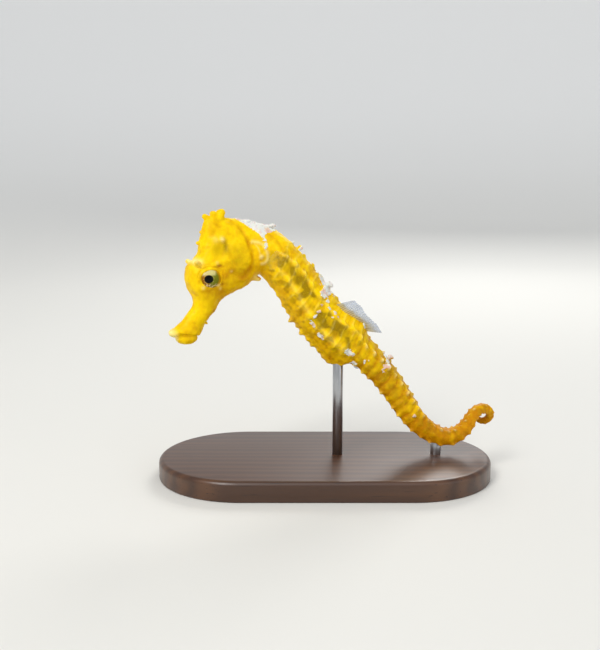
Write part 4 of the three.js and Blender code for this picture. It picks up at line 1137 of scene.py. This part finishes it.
def steel_material():
    shader = Shader("stand_steel")
    brushed = shader.noise(1.6, 3, stretch=(6, 6, 0.3))
    shader.set(Base_Color=shader.layers(STEEL_DARK, (brushed, STEEL_LIGHT)), Metallic=1.0,
               Roughness=0.3, Normal=shader.bump(brushed, 0.15, 0.02))
    return shader.material


def floor_material():
    """Grey underfoot and paler toward the wall, which gets less light."""
    shader = Shader("stage_paper")
    place = shader.node("ShaderNodeTexCoord", {}, "Object")
    reach = shader.node("ShaderNodeVectorMath", {0: place}, "Value", operation="LENGTH")
    tone = shader.layers(FLOOR_NEAR, (shader.ramp(reach, 0.3, 1.7), FLOOR_FAR))
    shader.set(Base_Color=tone, Roughness=0.9)
    return shader.material


# ---- eyes
def build_eye(name, sign, material):
    centre = np.array([EYE["forward"], EYE["up"], sign * EYE["side"]])
    size = (EYE["long"], EYE["high"], EYE["deep"])
    vertices, faces = ellipsoid(
        lambda a, b, c: head_point(centre[0] + a, centre[1] + b, centre[2] + sign * c), size, *EYE_FINE)
    offsets, _ = ellipsoid(lambda a, b, c: np.stack([a, b, c], axis=-1), (1, 1, 1), *EYE_FINE)
    gaze = np.array(GAZE) / np.linalg.norm(GAZE)
    out = np.degrees(np.arccos(np.clip(offsets @ gaze, -1, 1)))
    forward, up, _ = (offsets - np.cos(np.radians(out))[:, None] * gaze).T
    painted = {
        "gaze": out,
        "rear": smoothstep(-0.15, 0.2, -forward),
        # where the painted highlights lie, above and below the pupil
        "above": smoothstep(0.22, 0.42, up) * smoothstep(0.62, 0.4, np.abs(forward)),
        "below": smoothstep(0.38, 0.5, -up) * smoothstep(0.85, 0.7, -up),
    }
    bulge = CORNEA[0] * bell(out, CORNEA[1]) / EYE["long"]
    vertices = vertices + (vertices - head_point(*centre)) * bulge[:, None]
    if sign < 0:
        faces = [face[::-1] for face in faces]
    dress(new_object(f"eyeball_{name}", vertices, faces), material, [f"eye_{name}"], painted)


# ---- fins
def fin_sheet(node, roots, rims, across, rays, material):
    """A ruffled membrane between roots and rims, thickened along its rays."""
    wide = len(roots)
    along = np.linspace(0, 1, wide)
    ray = bell(np.mod(along * rays, 1) - 0.5, RAY_WIDTH)
    uneven = 1 - ray + hash_noise(np.floor(along * rays), np.zeros(wide))
    rims = mix(roots, rims, (1 - RAGGED * uneven)[:, None])
    vertices, ray_values, root_values = [], [], []
    for face in (1, -1):
        for share in np.linspace(0, 1, FIN_STEPS + 1):
            thick = mix(WEB, RAY, ray) * (1 - 0.7 * share) / 2
            ruffle = RUFFLE * share * np.sin(along * RUFFLE_TURN + 2 * share)
            vertices.append(mix(roots, rims, share) + across * (face * thick + ruffle)[:, None])
            ray_values.append(ray * (1 - 0.3 * share))
            root_values.append(np.clip(1 - share * mix(2.2, 1.1, along), 0, 1))
    back_face = (FIN_STEPS + 1) * wide
    faces = []
    for row in range(0, FIN_STEPS * wide, wide):
        for a in range(row, row + wide - 1):
            quad = (a, a + 1, a + wide + 1, a + wide)
            faces += [quad, tuple(back_face + v for v in quad[::-1])]
    tip_row = FIN_STEPS * wide
    outline = [*range(wide - 1), *range(wide - 1, tip_row + wide - 1, wide),
               *range(tip_row + wide - 1, tip_row, -1), *range(tip_row, 0, -wide)]
    for a, b in zip(outline, outline[1:] + outline[:1]):
        faces.append((b, a, back_face + a, back_face + b))
    painted = {"ray": np.concatenate(ray_values), "root": np.concatenate(root_values)}
    web = new_object(f"{node}_web", np.concatenate(vertices), faces)
    dress(web, material, [node], painted)


def median_fin(name, shape, angle, material):
    share = np.linspace(0, 1, shape["rays"] * POINTS_PER_RAY + 1)
    station = mix(shape["start"], shape["end"], share)
    _, forward, back, left = body_frame(station)
    outward = -back if angle else back
    lean = np.radians(profile(shape["lean"], share))[:, None]
    rays = outward * np.cos(lean) + forward * np.sin(lean)
    roots = body_point(station, angle, -FIN_SUNK)
    rims = roots + rays * (profile(shape["height"], share) + FIN_ADDED)[:, None]
    fin_sheet(name, roots, rims, left, shape["rays"], material)


def pectoral_fin(name, sign, material):
    shape = PECTORAL
    place = np.linspace(-1, 1, shape["rays"] * POINTS_PER_RAY + 1)
    _, forward, back, left = (v[0] for v in body_frame(shape["station"]))
    out = left * sign
    flare = math.radians(shape["flare"])
    fan = np.radians(place * shape["spread"])[:, None]
    ray = (forward * np.cos(fan) + back * np.sin(fan)) * math.cos(flare) + out * math.sin(flare)
    foot = body_point(shape["station"], sign * shape["angle"], 0.25)[0]
    roots = foot + back * (place * shape["root"])[:, None]
    rims = roots + ray * (shape["reach"] * (1 - 0.35 * place ** 2))[:, None]
    across = np.broadcast_to(out * math.cos(flare) - forward * math.sin(flare), roots.shape)
    fin_sheet(f"pectoral_fin_{name}", roots, rims, across, shape["rays"], material)


# ---- stand
def build_base(material):
    turn = (np.arange(BASE_SIDES) + 0.5) * 2 * math.pi / BASE_SIDES
    shift = np.where(np.cos(turn) > 0, 1, -1) * (BASE["long"] - BASE["wide"]) / 2
    levels = list(BASE_FOOT)
    for bend in np.linspace(0, math.pi / 2, BEVEL_STEPS):
        levels.append((BASE["bevel"] * (1 - math.cos(bend)),
                       BASE["high"] - BASE["bevel"] * (1 - math.sin(bend))))
    rings = []
    for inset, height in levels:
        radius = BASE["wide"] / 2 - inset
        rings.append(np.stack([shift + radius * np.cos(turn), radius * np.sin(turn),
                               np.full(BASE_SIDES, height)], axis=1))
    board = new_object("base_board", *closed_grid(np.array(rings)))
    dress(board, material, ["stand_base"], {})


def build_rod(name, material):
    low, high = np.array(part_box(f"stand_rod_{name}")) / MM
    x, y, _ = (low + high) / 2
    turn = np.linspace(0, 2 * math.pi, ROD_SIDES, endpoint=False)
    chamfer, narrow = ROD_CHAMFER
    levels = [(ROD_RADIUS, low[2]), (ROD_RADIUS, high[2] - chamfer), (ROD_RADIUS * narrow, high[2])]
    rings = [np.stack([x + radius * np.cos(turn), y + radius * np.sin(turn),
                       np.full(ROD_SIDES, z)], axis=1) for radius, z in levels]
    rod = new_object(f"rod_{name}", *closed_grid(np.array(rings)))
    dress(rod, material, [f"stand_rod_{name}"], {})


# ---- the picture
def build_stage():
    """A round pale floor that sweeps up far away, so that no horizon shows."""
    turn = np.linspace(0, 2 * math.pi, STAGE_SIDES, endpoint=False)
    vertices = [(0, 0, 0)]
    for radius, height in STAGE_RINGS:
        vertices += [(radius * math.cos(t), radius * math.sin(t), height) for t in turn]
    faces = []
    for k in range(STAGE_SIDES):
        following = (k + 1) % STAGE_SIDES
        faces.append((0, 1 + k, 1 + following))
        for first in range(1, (len(STAGE_RINGS) - 1) * STAGE_SIDES, STAGE_SIDES):
            a, b = first + k, first + following
            faces.append((a, a + STAGE_SIDES, b + STAGE_SIDES, b))
    floor = new_object("stage_floor", vertices, faces, scale=1.0)
    shade_smooth(floor)
    floor.data.materials.append(floor_material())


def add_light(name, kind, power):
    light = bpy.data.lights.new(name, kind)
    light.energy = power
    lamp = bpy.data.objects.new(name, light)
    bpy.context.scene.collection.objects.link(lamp)
    return light, lamp


def build_lights():
    for name, place, size, power, tint in LAMPS:
        light, lamp = add_light(name, "AREA", power)
        light.shape = "DISK"
        light.size = size
        light.color = tint
        lamp.location = place
        lamp.rotation_euler = (Vector(LAMP_AIM) - lamp.location).to_track_quat("-Z", "Y").to_euler()
    for name, tilt, turn, softness, power in SUNS:
        light, lamp = add_light(name, "SUN", power)
        light.angle = math.radians(softness)
        lamp.rotation_euler = (math.radians(tilt), 0, math.radians(turn))
    world = bpy.data.worlds.new("studio")
    world.use_nodes = True
    background = world.node_tree.nodes["Background"].inputs
    background["Color"].default_value = WORLD_TINT
    background["Strength"].default_value = WORLD_POWER
    bpy.context.scene.world = world


def build_camera():
    """The photo's angle and framing."""
    elevation = math.radians(CAMERA_ELEVATION)
    camera = bpy.data.cameras.new("camera")
    camera.sensor_width = SENSOR
    camera.lens = SENSOR * CAMERA_DISTANCE / (PHOTO_HEIGHT * PIXEL)
    camera.clip_start = CLIP_START
    eye = bpy.data.objects.new("camera", camera)
    away = Vector((0, -math.cos(elevation), math.sin(elevation)))
    eye.location = Vector(CAMERA_AIM) + away * CAMERA_DISTANCE
    eye.rotation_euler = (math.pi / 2 - elevation, 0, 0)
    bpy.context.scene.collection.objects.link(eye)
    bpy.context.scene.camera = eye


build_skin(skin_material())
eyes = eye_material()
membrane = fin_material("fin_membrane", FIN_WEB, 0.3, 0.26)
webbing = fin_material("pectoral_membrane", PECTORAL_WEB, 0.03, 0.1)
for side_name, side_sign in SIDES.items():
    build_eye(side_name, side_sign, eyes)
    pectoral_fin(side_name, side_sign, webbing)
median_fin("dorsal_fin", DORSAL, 0, membrane)
median_fin("anal_fin", ANAL, 180, membrane)
build_base(wood_material())
steel = steel_material()
for rod_name in ("body", "tail"):
    build_rod(rod_name, steel)
build_stage()
build_lights()
build_camera()
bpy.context.scene.view_settings.view_transform = "Standard"
